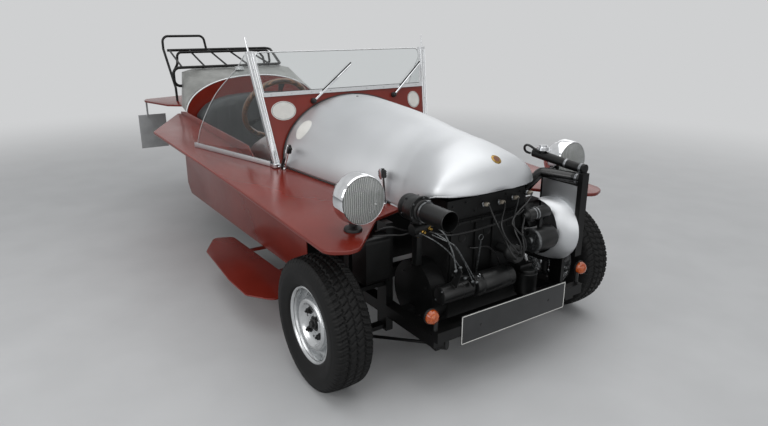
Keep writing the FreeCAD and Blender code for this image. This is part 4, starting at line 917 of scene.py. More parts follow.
def build_seats(settings):
    """The cushion, and the squab from its node's own outline, both made smaller by the room to swell."""
    low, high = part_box("seat_base")
    size = (high[0] - low[0] - 0.022, high[1] - low[1] - 0.024, high[2] - low[2] - 0.02)
    centre = ((high[0] + low[0]) / 2 + 0.001, (high[1] + low[1]) / 2, (high[2] + low[2]) / 2 - 0.004)
    add_pad("seat_cushion", "seat_base", block_mesh(size, centre, 0.028), settings.swell, 0.04, UP,
            settings.channel)
    low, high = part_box("seat_back")
    middle = Vector([(a + b) / 2 for a, b in zip(low, high)])
    half = Vector([(b - a) / 2 for a, b in zip(low, high)])
    squab = NODES["seat_back"].data
    points = []
    for vertex in squab.vertices:
        offset = vertex.co - middle
        points.append(middle + Vector([offset[i] * (1 - 0.011 / half[i]) for i in range(3)]))
    mesh = bpy.data.meshes.new("squab")
    mesh.from_pydata([tuple(point) for point in points], [],
                     [tuple(face.vertices) for face in squab.polygons])
    add_pad("seat_squab", "seat_back", mesh, settings.swell - 0.001, 0.06, FORWARD, settings.channel)


def swollen_mesh(mesh, cap):
    """A pad with crowned faces: remeshed, swelled as cloth and held within cap of its start."""
    pad = bpy.data.objects.new("pad", mesh)
    bpy.context.scene.collection.objects.link(pad)
    remesh = pad.modifiers.new("remesh", "REMESH")
    remesh.mode, remesh.voxel_size = "VOXEL", PAD_VOXEL
    depsgraph = bpy.context.evaluated_depsgraph_get()
    start = bpy.data.meshes.new_from_object(pad.evaluated_get(depsgraph))
    pad.modifiers.clear()
    pad.data = start
    rest = [v.co.copy() for v in start.vertices]
    cloth = pad.modifiers.new("swell", "CLOTH")
    cloth.settings.use_pressure = True
    cloth.settings.uniform_pressure_force = PAD_PRESSURE
    cloth.settings.effector_weights.gravity = 0.0
    cloth.settings.quality = 4
    for number in range(1, PAD_FRAMES):
        bpy.context.scene.frame_set(number)
    depsgraph = bpy.context.evaluated_depsgraph_get()
    swelled = bpy.data.meshes.new_from_object(pad.evaluated_get(depsgraph))
    pad.modifiers.clear()
    for vertex, before in zip(swelled.vertices, rest):
        shift = vertex.co - before
        if shift.length > cap:
            vertex.co = before + shift * (cap / shift.length)
    pad.data = swelled
    bpy.context.scene.frame_set(1)
    mesh = pad.data
    bpy.data.objects.remove(pad)
    return mesh


WHEEL_CENTRE = (-1.15, -0.23, 0.83)
COLUMN_FALL = math.radians(29)
RIM_RADIUS, RIM_STEPS, RIM_POINTS = 0.166, 96, 20
FINGER_GRIPS = 24


# reach from the middle and radius of the holes in a spoke
SPOKE_HOLES = ((0.055, 0.0075), (0.085, 0.0065), (0.113, 0.0055))


def spoke_meshes(turn, axis):
    """Three pierced spokes and the plate in their middle."""
    plates = []
    for spoke in range(3):
        angle = math.radians(90 + 120 * spoke)
        away = Matrix.Rotation(angle, 4, "Z")
        outline = [(0.022, -0.016), (0.07, -0.0115), (0.12, -0.011), (0.157, -0.018), (0.165, -0.02),
                   (0.165, 0.02), (0.157, 0.018), (0.12, 0.011), (0.07, 0.0115), (0.022, 0.016)]
        blade = slab_mesh(outline, 0.003, turn @ away @ Matrix.Translation((0, 0, -0.006)), 0.0008)
        cutters = [turned_mesh([(0, -0.01), (size, -0.01), (size, 0.01), (0, 0.01)],
                               turn @ away @ Vector((reach, 0, -0.005)), axis, 20)
                   for reach, size in SPOKE_HOLES]
        plates.append(cut_with(blade, cutters))
    hub_plate = turned_mesh([(0, -0.003), (0.034, -0.003), (0.034, -0.006), (0, -0.006)], at(*WHEEL_CENTRE),
                            axis, 40)
    return plates + [hub_plate]


def build_steering_wheel():
    """The wooden rim with finger grips behind, three pierced spokes, the boss and its screws."""
    axis = Vector((-math.cos(COLUMN_FALL), 0, math.sin(COLUMN_FALL)))
    turn = axis_matrix(at(*WHEEL_CENTRE), axis)
    profile = []
    for index in range(RIM_POINTS):
        angle = math.tau * index / RIM_POINTS
        profile.append((RIM_RADIUS + 0.0138 * math.cos(angle), 0.0132 * math.sin(angle)))
    points, faces = lathed(profile, RIM_STEPS, turn, True)
    for index, point in enumerate(points):
        if 8 <= index % RIM_POINTS <= 12:
            angle = math.tau * (index // RIM_POINTS) / RIM_STEPS
            centre = turn @ Vector((RIM_RADIUS * math.cos(angle), RIM_RADIUS * math.sin(angle), 0))
            grip = 0.5 + 0.5 * math.cos(angle * FINGER_GRIPS)
            point += (centre - point) * 0.12 * grip
    rim = add_piece("wooden_wheel_rim", mesh_of(points, faces), "wood", "hand_wheel", crease=60)
    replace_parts(rim, "steering_wheel")
    add_piece("wheel_spokes", spoke_meshes(turn, axis), "iron", "hand_wheel")
    boss = turned_mesh([(0, 0.004), (0.013, 0.0035), (0.019, 0.0015), (0.0215, -0.002), (0.0285, -0.007),
                        (0.029, -0.04), (0.022, -0.046), (0.0102, -0.047), (0.0102, -0.0685)],
                       at(*WHEEL_CENTRE), axis, 40)
    add_piece("wheel_boss", boss, "rubber", "hand_wheel")
    screws = []
    for index in range(6):
        angle = math.tau * (index + 0.5) / 6
        spot = turn @ Vector((0.0275 * math.cos(angle), 0.0275 * math.sin(angle), -0.003))
        screws.append(turned_mesh([(0, 0.002), (0.002, 0.0018), (0.0028, 0.0)], spot, axis, 10))
    add_piece("wheel_screws", screws, "steel", "hand_wheel")


def screen_matrix():
    """Upright local axes in the raked plane of the screen: X forward, Z up the posts."""
    return Matrix.Translation(at(SCREEN_FOOT[0], 0, SCREEN_FOOT[1])) @ Matrix.Rotation(-SCREEN_RAKE, 4, "Y")


def post_out(up):
    """How far from the middle the screen's posts stand, up along the screen."""
    return 0.42 + 0.104 * up


def add_wipers(place):
    """Two arms with their blades and bosses."""
    wipers = []
    for index, (pivot, tip) in enumerate((((-0.195, 0.268), (0.03, 0.428)), ((0.255, 0.268), (0.44, 0.42)))):
        start, end = Vector((0.013, *pivot)), Vector((0.0165, *tip))
        run = (end - start).normalized()
        beside = FORWARD.cross(run).normalized()
        middle = start.lerp(end, 0.6)
        arm = [place @ (start + Vector((0.004, 0, 0))), place @ (start + run * 0.05 + Vector((0.009, 0, 0))),
               place @ (middle + Vector((0.006, 0, 0)))]
        wipers.append(pipe_mesh(arm, 0.0044, 10))
        wipers.append(pipe_mesh([place @ (middle + Vector((0.005, 0, 0))),
                                 place @ (start.lerp(end, 0.97) + Vector((0.004, 0, 0)))], 0.003, 8, False))
        blade = [place @ (start.lerp(end, share) + beside * 0.0062 + Vector((rise, 0, 0)))
                 for share, rise in ((0.26, 0.0008), (0.62, 0.003), (1.0, 0.0008))]
        boss = turned_mesh([(0, 0.014), (0.0065, 0.0135), (0.0095, 0.011), (0.0105, 0.004), (0.0125, 0.003),
                            (0.013, -0.009)], place @ Vector((0.0125, *pivot)), place.to_3x3() @ FORWARD, 20)
        squeegee = pipe_mesh(blade, 0.0034, 8)
        add_piece(f"wiper_rubber_{index}", [squeegee, boss], "rubber")
    shown = add_piece("wiper_gear", wipers, "chrome")
    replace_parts(shown, "wiper_arms")


def add_screen_discs(place):
    """Two blank discs of film with a thin line inside their edge."""
    quarter = Matrix.Rotation(math.radians(90), 4, "Y") @ Matrix.Rotation(math.radians(90), 4, "Z")
    discs = []
    for name, y, z, half_y, half_z in (("right", -0.348, 0.235, 0.0605, 0.0425),
                                       ("left", 0.378, 0.237, 0.0365, 0.0415)):
        ring = [(half_y * math.cos(math.tau * k / 48), half_z * math.sin(math.tau * k / 48))
                for k in range(48)]
        face = place @ Matrix.Translation((0.0031, y, z)) @ quarter
        film = slab_mesh(ring, 0.0008, face, 0)
        add_piece(f"blank_screen_disc_{name}", film, "white")
        rim = [face @ Vector((x * 0.93, y2 * 0.91, 0.0009)) for x, y2 in ring]
        discs.append(pipe_mesh(rim + rim[:1], 0.0007, 4, False))
    add_piece("disc_outlines", discs, "rubber")


def build_screen():
    """Wipers, blank discs, the pane's rubber strip and the rivets."""
    place = screen_matrix()
    add_wipers(place)
    add_screen_discs(place)
    # rubber strip between the pane and its bar, and rivets along the bar and the posts
    strip = block_mesh((0.008, 0.86, 0.004), (0, 0, 0), 0.001)
    strip.transform(place @ Matrix.Translation((0.0, 0, 0.3195)))
    add_piece("pane_rubber_strip", strip, "rubber")
    spots = [(-0.4 + 0.1 * k, 0.309) for k in range(9)]
    spots += [(side * post_out(up), up) for side in (-1, 1) for up in (0.06, 0.15, 0.24, 0.34, 0.42, 0.48)]
    rivets = [turned_mesh([(0, 0.0014), (0.0018, 0.0011), (0.003, 0.0)], place @ Vector((0.0108, y, up)),
                          place.to_3x3() @ FORWARD, 10) for y, up in spots]
    add_piece("screen_rivets", rivets, "steel")


def band_mesh(radius, width, centre, axis, steps=40):
    """A flat strip clamped round something of this radius."""
    half = width / 2
    return turned_mesh([(radius - 0.001, -half), (radius + 0.0012, -half), (radius + 0.0018, 0.0),
                        (radius + 0.0012, half), (radius - 0.001, half)], centre, axis, steps)


def ring_of(count, radius, centre, axis, make, start=0.0):
    """Like small pieces set in a ring; make takes each one's place."""
    turn = axis_matrix(centre, axis)
    return [make(turn @ Vector((radius * math.cos(start + math.tau * k / count),
                                radius * math.sin(start + math.tau * k / count), 0)))
            for k in range(count)]


def build_blower():
    """The air drum on its stay, its flange with six bolts, and the trumpet."""
    drum_place, horn_place = at(0.072, -0.296, 0.64), at(0.16, -0.29, 0.638)
    drum = turned_mesh([(0, 0.0), (0.026, 0.0), (0.03, 0.003), (0.039, 0.004), (0.044, 0.009),
                        (0.0455, 0.016), (0.0455, 0.03), (0.0442, 0.032), (0.0442, 0.036), (0.0455, 0.038),
                        (0.0455, 0.078)], drum_place, FORWARD, 56)
    flange = turned_mesh([(0.044, 0.078), (0.0485, 0.0785), (0.0498, 0.08), (0.05, 0.083), (0.0495, 0.0855),
                          (0.047, 0.0865), (0.0462, 0.085), (0.044, 0.0845), (0.035, 0.087)],
                         drum_place + Vector((0, 0.003, 0)), FORWARD, 64)
    horn = turned_mesh([(0.0405, -0.004), (0.0405, 0.003), (0.0385, 0.0055), (0.0358, 0.0075), (0.0352, 0.02),
                        (0.0352, 0.136), (0.036, 0.1385), (0.036, 0.1425), (0.0352, 0.1448), (0.0338, 0.1448),
                        (0.0332, 0.142), (0.0332, 0.016), (0.03, 0.013), (0.0, 0.013)], horn_place, FORWARD,
                       64)
    stay = block_mesh((0.03, 0.025, 0.178), at(0.095, -0.2625, 0.5035))
    body = add_piece("air_drum_and_trumpet", [drum, flange, horn, stay], "tin", crease=40)
    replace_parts(body, "blower")
    bolts = ring_of(6, 0.0445, drum_place + Vector((0.0865, 0.003, 0)), FORWARD,
                    lambda spot: hex_head(spot, FORWARD, 0.0058, 0.0035), 0.4)
    middle = drum_place + Vector((0.034, 0, 0))
    bolts += ring_of(5, 0.0455, middle, FORWARD, lambda spot: hex_head(spot, spot - middle, 0.0055, 0.0035),
                     2.2)
    add_piece("air_drum_bolts", bolts, "wire")
    clip = band_mesh(0.0356, 0.009, horn_place + Vector((0.02, 0, 0)), FORWARD)
    screw = block_mesh((0.009, 0.016, 0.006), horn_place + Vector((0.02, 0.006, 0.0385)), 0.0012)
    add_piece("trumpet_clip", [clip, screw], "steel")


def build_mixing_chamber():
    """The float bowl and throat, with a nut below and two brass jets."""
    bowl = turned_mesh([(0, 0.0), (0.018, 0.0), (0.024, 0.004), (0.0255, 0.01), (0.0255, 0.036),
                        (0.029, 0.038), (0.029, 0.046), (0.022, 0.048), (0.02, 0.06)],
                       at(0.132, -0.288, 0.54), UP, 32)
    throat = turned_mesh([(0, 0.0), (0.019, 0.0), (0.0205, 0.003), (0.0205, 0.075), (0.0, 0.078)],
                         at(0.145, -0.25, 0.572), (0, -1, 0), 28)
    add_piece("mixing_chamber", [bowl, throat], "tin", crease=40)
    nuts = [hex_head(at(0.132, -0.288, 0.54), (0, 0, -1), 0.01, 0.006),
            turned_mesh([(0, 0.02), (0.004, 0.02), (0.0046, 0.012), (0.0075, 0.01), (0.0075, -0.004)],
                        at(0.158, -0.288, 0.563), (1, -0.2, 0.1), 6),
            turned_mesh([(0, 0.016), (0.006, 0.015), (0.007, 0.006), (0.0085, 0.005), (0.0085, -0.004)],
                        at(0.16, -0.262, 0.572), (1, 0.1, -0.2), 6)]
    add_piece("brass_jets", nuts, "brass")


BALL_JOINT = [(0, 0.007), (0.0036, 0.0062), (0.0056, 0.0035), (0.006, 0.0), (0.0056, -0.0035),
              (0.0036, -0.0062), (0, -0.007)]


def build_linkage():
    """Bell cranks on the starter motor, and the rods that run up to the mixing chamber."""
    routes = [
        ((0.16, -0.268, 0.592), (0.235, -0.262, 0.588), (0.257, -0.252, 0.544), (0.273, -0.238, 0.497),
         (0.282, -0.238, 0.447)),
        ((0.16, -0.3, 0.56), (0.212, -0.292, 0.556), (0.24, -0.248, 0.516), (0.26, -0.231, 0.487),
         (0.276, -0.214, 0.452)),
        ((0.178, -0.262, 0.552), (0.246, -0.241, 0.541), (0.262, -0.224, 0.528), (0.279, -0.202, 0.48),
         (0.292, -0.15, 0.388)),
        ((0.18, -0.25, 0.556), (0.244, -0.232, 0.538), (0.256, -0.212, 0.51), (0.272, -0.192, 0.467),
         (0.29, -0.166, 0.394)),
    ]
    rods = [route_mesh(route, radius, 8) for route, radius in zip(routes, (0.0032, 0.0026, 0.0024, 0.0024))]
    add_piece("throttle_rods", rods, "wire")
    cranks = []
    for x, y, z, tall in ((0.262, -0.226, 0.385, 0.074), (0.276, -0.158, 0.378, 0.03)):
        cranks.append(slab_mesh([(-0.016, 0), (0.016, 0), (0.011, tall), (0.0, tall + 0.006), (-0.009, tall)],
                                0.004, Matrix.Translation(at(x, y, z))
                                @ Matrix.Rotation(math.radians(90), 4, "X")
                                @ Matrix.Rotation(math.radians(-25), 4, "Z"), 0.001))
    cranks.append(pipe_mesh([at(0.268, -0.246, 0.43), at(0.282, -0.14, 0.398)], 0.0042, 10, False))
    add_piece("throttle_cranks", cranks, "tin")
    joints = [turned_mesh(BALL_JOINT, at(*point), (0.3, 1, 0.2), 12)
              for point in [route[-1] for route in routes]
              + [(0.284, -0.197, 0.412), routes[0][0], routes[1][0]]]
    add_piece("throttle_joints", joints, "wire")


def build_starter():
    """Starter motor with its end covers, band, through bolts and the switch on its nose."""
    place = at(0.245, -0.13, 0.352)
    motor = turned_mesh([(0, 0.0), (0.03, 0.0), (0.039, 0.003), (0.042, 0.008), (0.042, 0.034),
                         (0.0408, 0.0355), (0.0408, 0.0385), (0.042, 0.04), (0.042, 0.16), (0.0408, 0.1615),
                         (0.0408, 0.164), (0.0415, 0.166), (0.04, 0.184), (0.03, 0.1895), (0.0, 0.1895)],
                        place, LEFT, 56)
    nose = turned_mesh([(0, -0.149), (0.024, -0.149), (0.031, -0.146), (0.0335, -0.14), (0.0335, -0.06),
                        (0.0322, -0.0585), (0.0322, -0.056), (0.0335, -0.0545), (0.0335, -0.012),
                        (0.026, -0.004), (0.026, 0.002)], place, LEFT, 48)
    foot = block_mesh((0.055, 0.06, 0.044), at(0.2085, -0.12, 0.352), 0.004)
    whole = add_piece("starter_with_covers", [motor, nose, foot], "tin", crease=40)
    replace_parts(whole, "starter_motor")
    bolts = ring_of(2, 0.026, place + Vector((0, -0.1485, 0)), (0, -1, 0),
                    lambda spot: hex_head(spot, (0, -1, 0), 0.005, 0.003), 0.9)
    bolts.append(turned_mesh([(0, 0.018), (0.0035, 0.0175), (0.0038, 0.01), (0.0065, 0.009), (0.0065, 0.0)],
                             place + Vector((0.02, 0.012, 0.0365)), (0.5, 0, 1), 6))
    add_piece("starter_bolts", bolts, "steel")


def build_dynamo():
    """Dynamo with a grey cast end, and the coil on top of it with two bright bands."""
    place = at(0.248, 0.15, 0.466)
    body = turned_mesh([(0, 0.016), (0.047, 0.016), (0.048, 0.018), (0.048, 0.104), (0.0465, 0.108),
                        (0.04, 0.117), (0.0, 0.117)], place, LEFT, 56)
    ear = block_mesh((0.058, 0.03, 0.05), at(0.2095, 0.175, 0.475), 0.004)
    stay = block_mesh((0.012, 0.016, 0.106), at(0.25, 0.198, 0.514), 0.002)
    coil = turned_mesh([(0, 0.01), (0.0225, 0.01), (0.0238, 0.012), (0.0238, 0.108), (0.0215, 0.1115),
                        (0.0, 0.1115)], at(0.25, 0.12, 0.572), LEFT, 40)
    whole = add_piece("dynamo_and_coil", [body, ear, stay, coil], "tin", crease=40)
    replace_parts(whole, "dynamo")
    end = turned_mesh([(0, -0.0005), (0.01, -0.0005), (0.0125, 0.002), (0.0135, 0.006), (0.026, 0.0075),
                       (0.04, 0.005), (0.0465, 0.007), (0.048, 0.011), (0.048, 0.017), (0.0, 0.017)], place,
                      LEFT, 56)
    cutters = []
    turn = axis_matrix(place, LEFT)
    for index in range(4):
        angle = math.tau * (index + 0.5) / 4
        outline = bent_slot(angle, 0.031, 0.0075, 0.42, 16)
        cutters.append(slab_mesh(outline, 0.02, turn @ Matrix.Translation((0, 0, -0.006)), 0))
    add_piece("dynamo_cast_end", cut_with(end, cutters), "cast", crease=40)
    bands = [band_mesh(0.0238, 0.0055, at(0.25, y, 0.572), LEFT) for y in (0.155, 0.169)]
    add_piece("coil_bands", bands, "steel")
    cap = turned_mesh([(0, -0.012), (0.0075, -0.012), (0.009, -0.004), (0.013, 0.0), (0.0225, 0.003),
                       (0.0225, 0.011)], at(0.25, 0.12, 0.572), LEFT, 32)
    add_piece("coil_cap", cap, "rubber")


LEAD_TOWERS = [(0.3, 0.062, 0.44), (0.3, 0.04, 0.456), (0.3, 0.052, 0.4665), (0.3, 0.074, 0.4645),
               (0.3, 0.036, 0.436)]


def build_ignition():
    """Distributor cap with its five towers and its clips."""
    place = at(0.24, 0.062, 0.44)
    cap = turned_mesh([(0.018, -0.0585), (0.018, -0.01), (0.03, -0.004), (0.0352, 0.0), (0.036, 0.004),
                       (0.036, 0.016), (0.0345, 0.018), (0.034, 0.036), (0.03, 0.043), (0.024, 0.0448),
                       (0.0, 0.0448)], place, FORWARD, 48)
    towers = [turned_mesh([(0, 0.0), (0.005, 0.0), (0.0062, -0.004), (0.0068, -0.018)], at(*tower), FORWARD,
                          14) for tower in LEAD_TOWERS]
    whole = add_piece("distributor_cap", [cap] + towers, "rubber", crease=40)
    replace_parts(whole, "distributor")
    clips = ring_of(2, 0.0365, place + Vector((0.014, 0, 0)), FORWARD,
                    lambda spot: block_mesh((0.03, 0.0045, 0.0022), spot, 0.0008), math.pi / 2)
    add_piece("distributor_clips", clips, "steel")


def build_leads():
    """The plugs with their caps, and the leads from them and the coil to the towers."""
    plugs = [(-0.022, 0.624), (0.057, 0.619), (0.127, 0.625), (0.201, 0.632)]
    shells, caps = [], []
    for y, z in plugs:
        shells.append(turned_mesh([(0.0085, -0.002), (0.0105, 0.0), (0.0105, 0.006), (0.0075, 0.008),
                                   (0.0065, 0.011)], at(0.1705, y, z - 0.004), (1, 0, 0.25), 6))
        caps.append(turned_mesh([(0.0055, 0.008), (0.0078, 0.011), (0.0082, 0.018), (0.007, 0.026),
                                 (0.0048, 0.03), (0, 0.031)], at(0.1705, y, z - 0.004), (1, 0, 0.25), 20))
    add_piece("plug_shells", shells, "steel")
    add_piece("plug_caps", caps, "plug")

    routes = [
        ((0.198, -0.022, 0.628), (0.214, -0.023, 0.606), (0.238, -0.018, 0.568), (0.268, -0.006, 0.52),
         (0.292, 0.01, 0.462), (0.308, 0.028, 0.438), LEAD_TOWERS[4]),
        ((0.198, 0.057, 0.623), (0.21, 0.05, 0.606), (0.234, 0.014, 0.584), (0.262, -0.018, 0.562),
         (0.284, -0.008, 0.515), (0.308, 0.024, 0.47), LEAD_TOWERS[1]),
        ((0.198, 0.127, 0.629), (0.208, 0.117, 0.612), (0.223, 0.09, 0.586), (0.248, 0.058, 0.558),
         (0.274, 0.041, 0.535), (0.306, 0.048, 0.488), LEAD_TOWERS[2]),
        ((0.198, 0.201, 0.636), (0.214, 0.18, 0.62), (0.236, 0.096, 0.59), (0.266, 0.034, 0.58),
         (0.282, 0.018, 0.56), (0.305, 0.078, 0.5), LEAD_TOWERS[3]),
        ((0.25, 0.11, 0.572), (0.264, 0.098, 0.564), (0.283, 0.066, 0.538), (0.31, 0.06, 0.47),
         LEAD_TOWERS[0]),
    ]
    leads = [route_mesh(route, 0.0033, 8) for route in routes]
    add_piece("plug_leads", leads, "lead")


def build_oil_filter():
    """Spin-on can with a rolled seam, under its cast head."""
    place = at(0.246, 0.15, 0.249)
    can = turned_mesh([(0, 0.0), (0.026, 0.0), (0.036, 0.003), (0.0405, 0.01), (0.0412, 0.02),
                       (0.0412, 0.086), (0.042, 0.088), (0.042, 0.0925), (0.0405, 0.094), (0.036, 0.0945),
                       (0.0, 0.0945)], place, UP, 48)
    head = block_mesh((0.062, 0.06, 0.028), at(0.2115, 0.15, 0.3545), 0.004)
    neck = turned_mesh([(0.033, -0.008), (0.033, 0.002), (0.028, 0.006), (0.0, 0.006)], at(0.246, 0.15, 0.35),
                       UP, 32)
    whole = add_piece("oil_filter_can", [can, head, neck], "tin", crease=40)
    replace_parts(whole, "oil_filter")


CORE_PLUGS = ((-0.125, 0.515), (-0.005, 0.52), (0.11, 0.53))
RIB_BOLTS = ((-0.15, 0.572), (-0.092, 0.572), (-0.04, 0.572), (0.02, 0.572), (0.088, 0.572), (0.15, 0.572),
             (-0.17, 0.315), (-0.04, 0.315), (0.06, 0.315))
HEAD_BOLTS = ((-0.165, 0.632), (-0.105, 0.64), (-0.062, 0.602), (0.092, 0.64), (0.165, 0.64))
SIDE_BOLTS = ((0.15, 0.34), (0.01, 0.36), (0.12, 0.22), (0.06, 0.398))


def build_block_details():
    """What is bolted to the open front of the block: core plugs, ribs and bolt heads."""
    plugs = [turned_mesh([(0, -0.002), (0.012, -0.002), (0.0165, 0.0012), (0.018, 0.0012), (0.0185, -0.001)],
                         at(0.1805, y, z), FORWARD, 28) for y, z in CORE_PLUGS]
    ribs = [block_mesh((0.01, 0.36, 0.009), at(0.183, 0.0, z), 0.002) for z in (0.315, 0.572)]
    ribs += [block_mesh((0.009, 0.009, 0.235), at(0.183, y, 0.445), 0.002)
             for y in (-0.178, -0.065, 0.02, 0.178)]
    add_piece("block_ribs", plugs + ribs, "iron")
    bolts = [hex_head(at(0.1885, y, z), FORWARD, 0.0062, 0.0045) for y, z in RIB_BOLTS]
    bolts += [hex_head(at(0.1705, y, z), FORWARD, 0.0062, 0.0045) for y, z in HEAD_BOLTS]
    bolts += [hex_head(at(x, -0.2602, z), (0, -1, 0), 0.0065, 0.005) for x, z in SIDE_BOLTS]
    add_piece("block_bolts", bolts, "tin")


FUEL_PIPE = ((0.162, -0.262, 0.56), (0.196, -0.228, 0.546), (0.204, -0.15, 0.54), (0.206, 0.02, 0.546),
             (0.199, 0.15, 0.56), (0.188, 0.172, 0.57))
VACUUM_PIPE = ((0.186, -0.09, 0.47), (0.2, -0.08, 0.47), (0.206, -0.02, 0.472), (0.214, 0.02, 0.425),
               (0.204, 0.055, 0.36), (0.186, 0.06, 0.345))
LAMP_WIRES = (((0.06, -0.42, 0.56), (0.09, -0.385, 0.584), (0.1, -0.338, 0.563), (0.112, -0.3, 0.552)),
              ((0.06, -0.43, 0.545), (0.095, -0.372, 0.549), (0.105, -0.335, 0.541), (0.112, -0.308, 0.548)))


def build_pipes():
    """Fuel and vacuum pipes, the dipstick with its ring, and the wires behind the lamp."""
    pipes = [route_mesh(FUEL_PIPE, 0.0042), route_mesh(VACUUM_PIPE, 0.003)]
    add_piece("fuel_and_vacuum_pipes", pipes, "lead")
    ring = [(0.21, -0.062 + 0.011 * math.sin(math.tau * k / 12), 0.512 - 0.011 * math.cos(math.tau * k / 12))
            for k in range(13)]
    stick = [route_mesh(((0.186, -0.058, 0.34), (0.205, -0.06, 0.47), (0.21, -0.062, 0.5)), 0.004),
             route_mesh(ring, 0.0015, 6)]
    add_piece("dipstick", stick, "wire")
    add_piece("lamp_wires", [route_mesh(route, 0.0028, 6) for route in LAMP_WIRES], "lead")


def build_radiator_details():
    """Fins in the core, hose clips and the vent hose."""
    fins = [block_mesh((0.0012, 0.032, 0.262), at(0.128 + 0.0068 * k, 0.3505, 0.524), 0) for k in range(26)]
    add_piece("core_fins", fins, "enamel")
    clips = [band_mesh(0.0195, 0.01, at(0.285, 0.351, 0.688), FORWARD),
             band_mesh(0.0195, 0.01, at(0.084, 0.206, 0.6), LEFT),
             band_mesh(0.018, 0.01, at(0.284, 0.368, 0.724), FORWARD),
             band_mesh(0.018, 0.009, at(0.215, 0.363, 0.73), (1, 0.1, -0.13))]
    add_piece("hose_clips", clips, "steel")
    vent = route_mesh(((0.104, 0.334, 0.758), (0.104, 0.316, 0.766), (0.08, 0.29, 0.792),
                       (0.056, 0.292, 0.78), (0.05, 0.31, 0.752), (0.058, 0.33, 0.748)), 0.0048, 10)
    add_piece("vent_hose", vent, "rubber")


def build_engine():
    """All that is dressed on the engine and radiator."""
    for step in (build_blower, build_mixing_chamber, build_linkage, build_starter, build_dynamo,
                 build_ignition, build_leads, build_oil_filter, build_block_details, build_pipes,
                 build_radiator_details):
        step()


PANE_EDGE = [
    # back from the front axle, out, up: the curved edge of a deflector pane, from its rail to the screen
    (1.245, 0.6174, 0.664), (1.23, 0.6117, 0.718), (1.199, 0.5998, 0.781), (1.144, 0.5785, 0.863),
    (1.098, 0.5608, 0.92), (1.049, 0.5418, 0.967), (0.987, 0.5178, 1.016), (0.938, 0.499, 1.056),
    (0.912, 0.489, 1.0864), (0.89, 0.4803, 1.114),
]


def build_trim():
    """Bright edges of the panes, bulkhead and screen, and the posts' beads."""
    edges = [route_mesh([(-b, side * (o + 0.0005), z) for b, o, z in PANE_EDGE], 0.0026) for side in (-1, 1)]
    add_piece("polished_pane_edges", edges, "bright")

    _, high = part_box("rear_bulkhead")
    half, base, top = high[1] + 0.001, deck_z(-2.0) - 0.005, high[2] + 0.001
    arch = []
    for step in range(33):
        angle = math.pi * step / 32
        c, s = math.cos(angle), math.sin(angle)
        arch.append(at(-2.003, half * math.copysign(abs(c) ** (2 / 2.2), c),
                       base + (top - base) * abs(s) ** (2 / 2.2)))
    add_piece("bulkhead_edging", pipe_mesh(arch, 0.0048, 10), "bright")

    place = screen_matrix()
    flatten = place.inverted()
    pane = [flatten @ vertex.co for vertex in NODES["windscreen_pane"].data.vertices]
    flat = {(round(p.y, 4), round(p.z, 4)) for p in pane}
    middle = [sum(values) / len(flat) for values in zip(*flat)]
    round_it = sorted(flat, key=lambda p: math.atan2(p[1] - middle[1], p[0] - middle[0]))
    top = [p for p in round_it if p[1] > middle[1]]
    add_piece("screen_glass_edge", pipe_mesh([place @ Vector((0, *p)) for p in top], 0.0029, 8, False),
              "bright")
    beads = []
    for side in (-1, 1):
        for across, radius in ((-0.0118, 0.0017), (0.002, 0.0012), (0.0118, 0.0017)):
            line = [place @ Vector((0.0112, side * post_out(up) + across, up)) for up in (0.012, 0.25, 0.488)]
            beads.append(pipe_mesh(line, radius, 6, False))
    add_piece("post_beads", beads, "bright")


def add_trim_screws():
    """Screws of the cheek panels and of the panes' rails."""
    screws = []
    for side in (-1, 1):
        for back, up in ((0.844, 0.735), (0.822, 0.675), (0.905, 0.7), (1.035, 0.64)):
            screws.append(turned_mesh([(0, 0.0026), (0.0034, 0.002), (0.0052, 0.0)],
                                      at(-back, side * 0.4068, up), (0, side, 0), 14))
        for share in (0.12, 0.5, 0.88):
            screws.append(turned_mesh([(0, 0.0022), (0.003, 0.0016), (0.0045, 0.0)],
                                      at(-0.79 - 0.4 * share, side * (0.452 + 0.155 * share),
                                         deck_z(-0.79 - 0.4 * share) + 0.016), UP, 12))
    add_piece("cheek_and_rail_screws", screws, "steel")


CAMERA_PLACE = (1.70491, -1.48564, 1.25221)
CAMERA_AIM = (-0.7913, 0.5308, -0.3037)
# focal length and width of the photograph, in pixels
FOCAL, PHOTO_WIDTH = 600.222, 768.0
SENSOR = 36.0


def build_camera():
    """The view that the photograph was fitted with."""
    data = bpy.data.cameras.new("view")
    data.sensor_width = SENSOR
    data.lens = FOCAL * SENSOR / PHOTO_WIDTH
    data.clip_start, data.clip_end = 0.05, 60.0
    camera = bpy.data.objects.new("view", data)
    bpy.context.scene.collection.objects.link(camera)
    turn = Vector(CAMERA_AIM).to_track_quat("-Z", "Y")
    camera.matrix_world = Matrix.Translation(at(*CAMERA_PLACE)) @ turn.to_matrix().to_4x4()
    bpy.context.scene.camera = camera


FLOOR_REACH = 14.0
# how far from the car the floor starts to fade, and where it has turned into the backdrop
FADE_START, FADE_END = 1.9, 6.5


def straight_rays(tree):
    """The light path, and 1 for what the camera sees straight or through glass."""
    rays = add(tree, "ShaderNodeLightPath")
    return rays, add(tree, "ShaderNodeMath", {0: rays.outputs["Is Camera Ray"],
                                              1: rays.outputs["Is Transmission Ray"]}, operation="MAXIMUM")


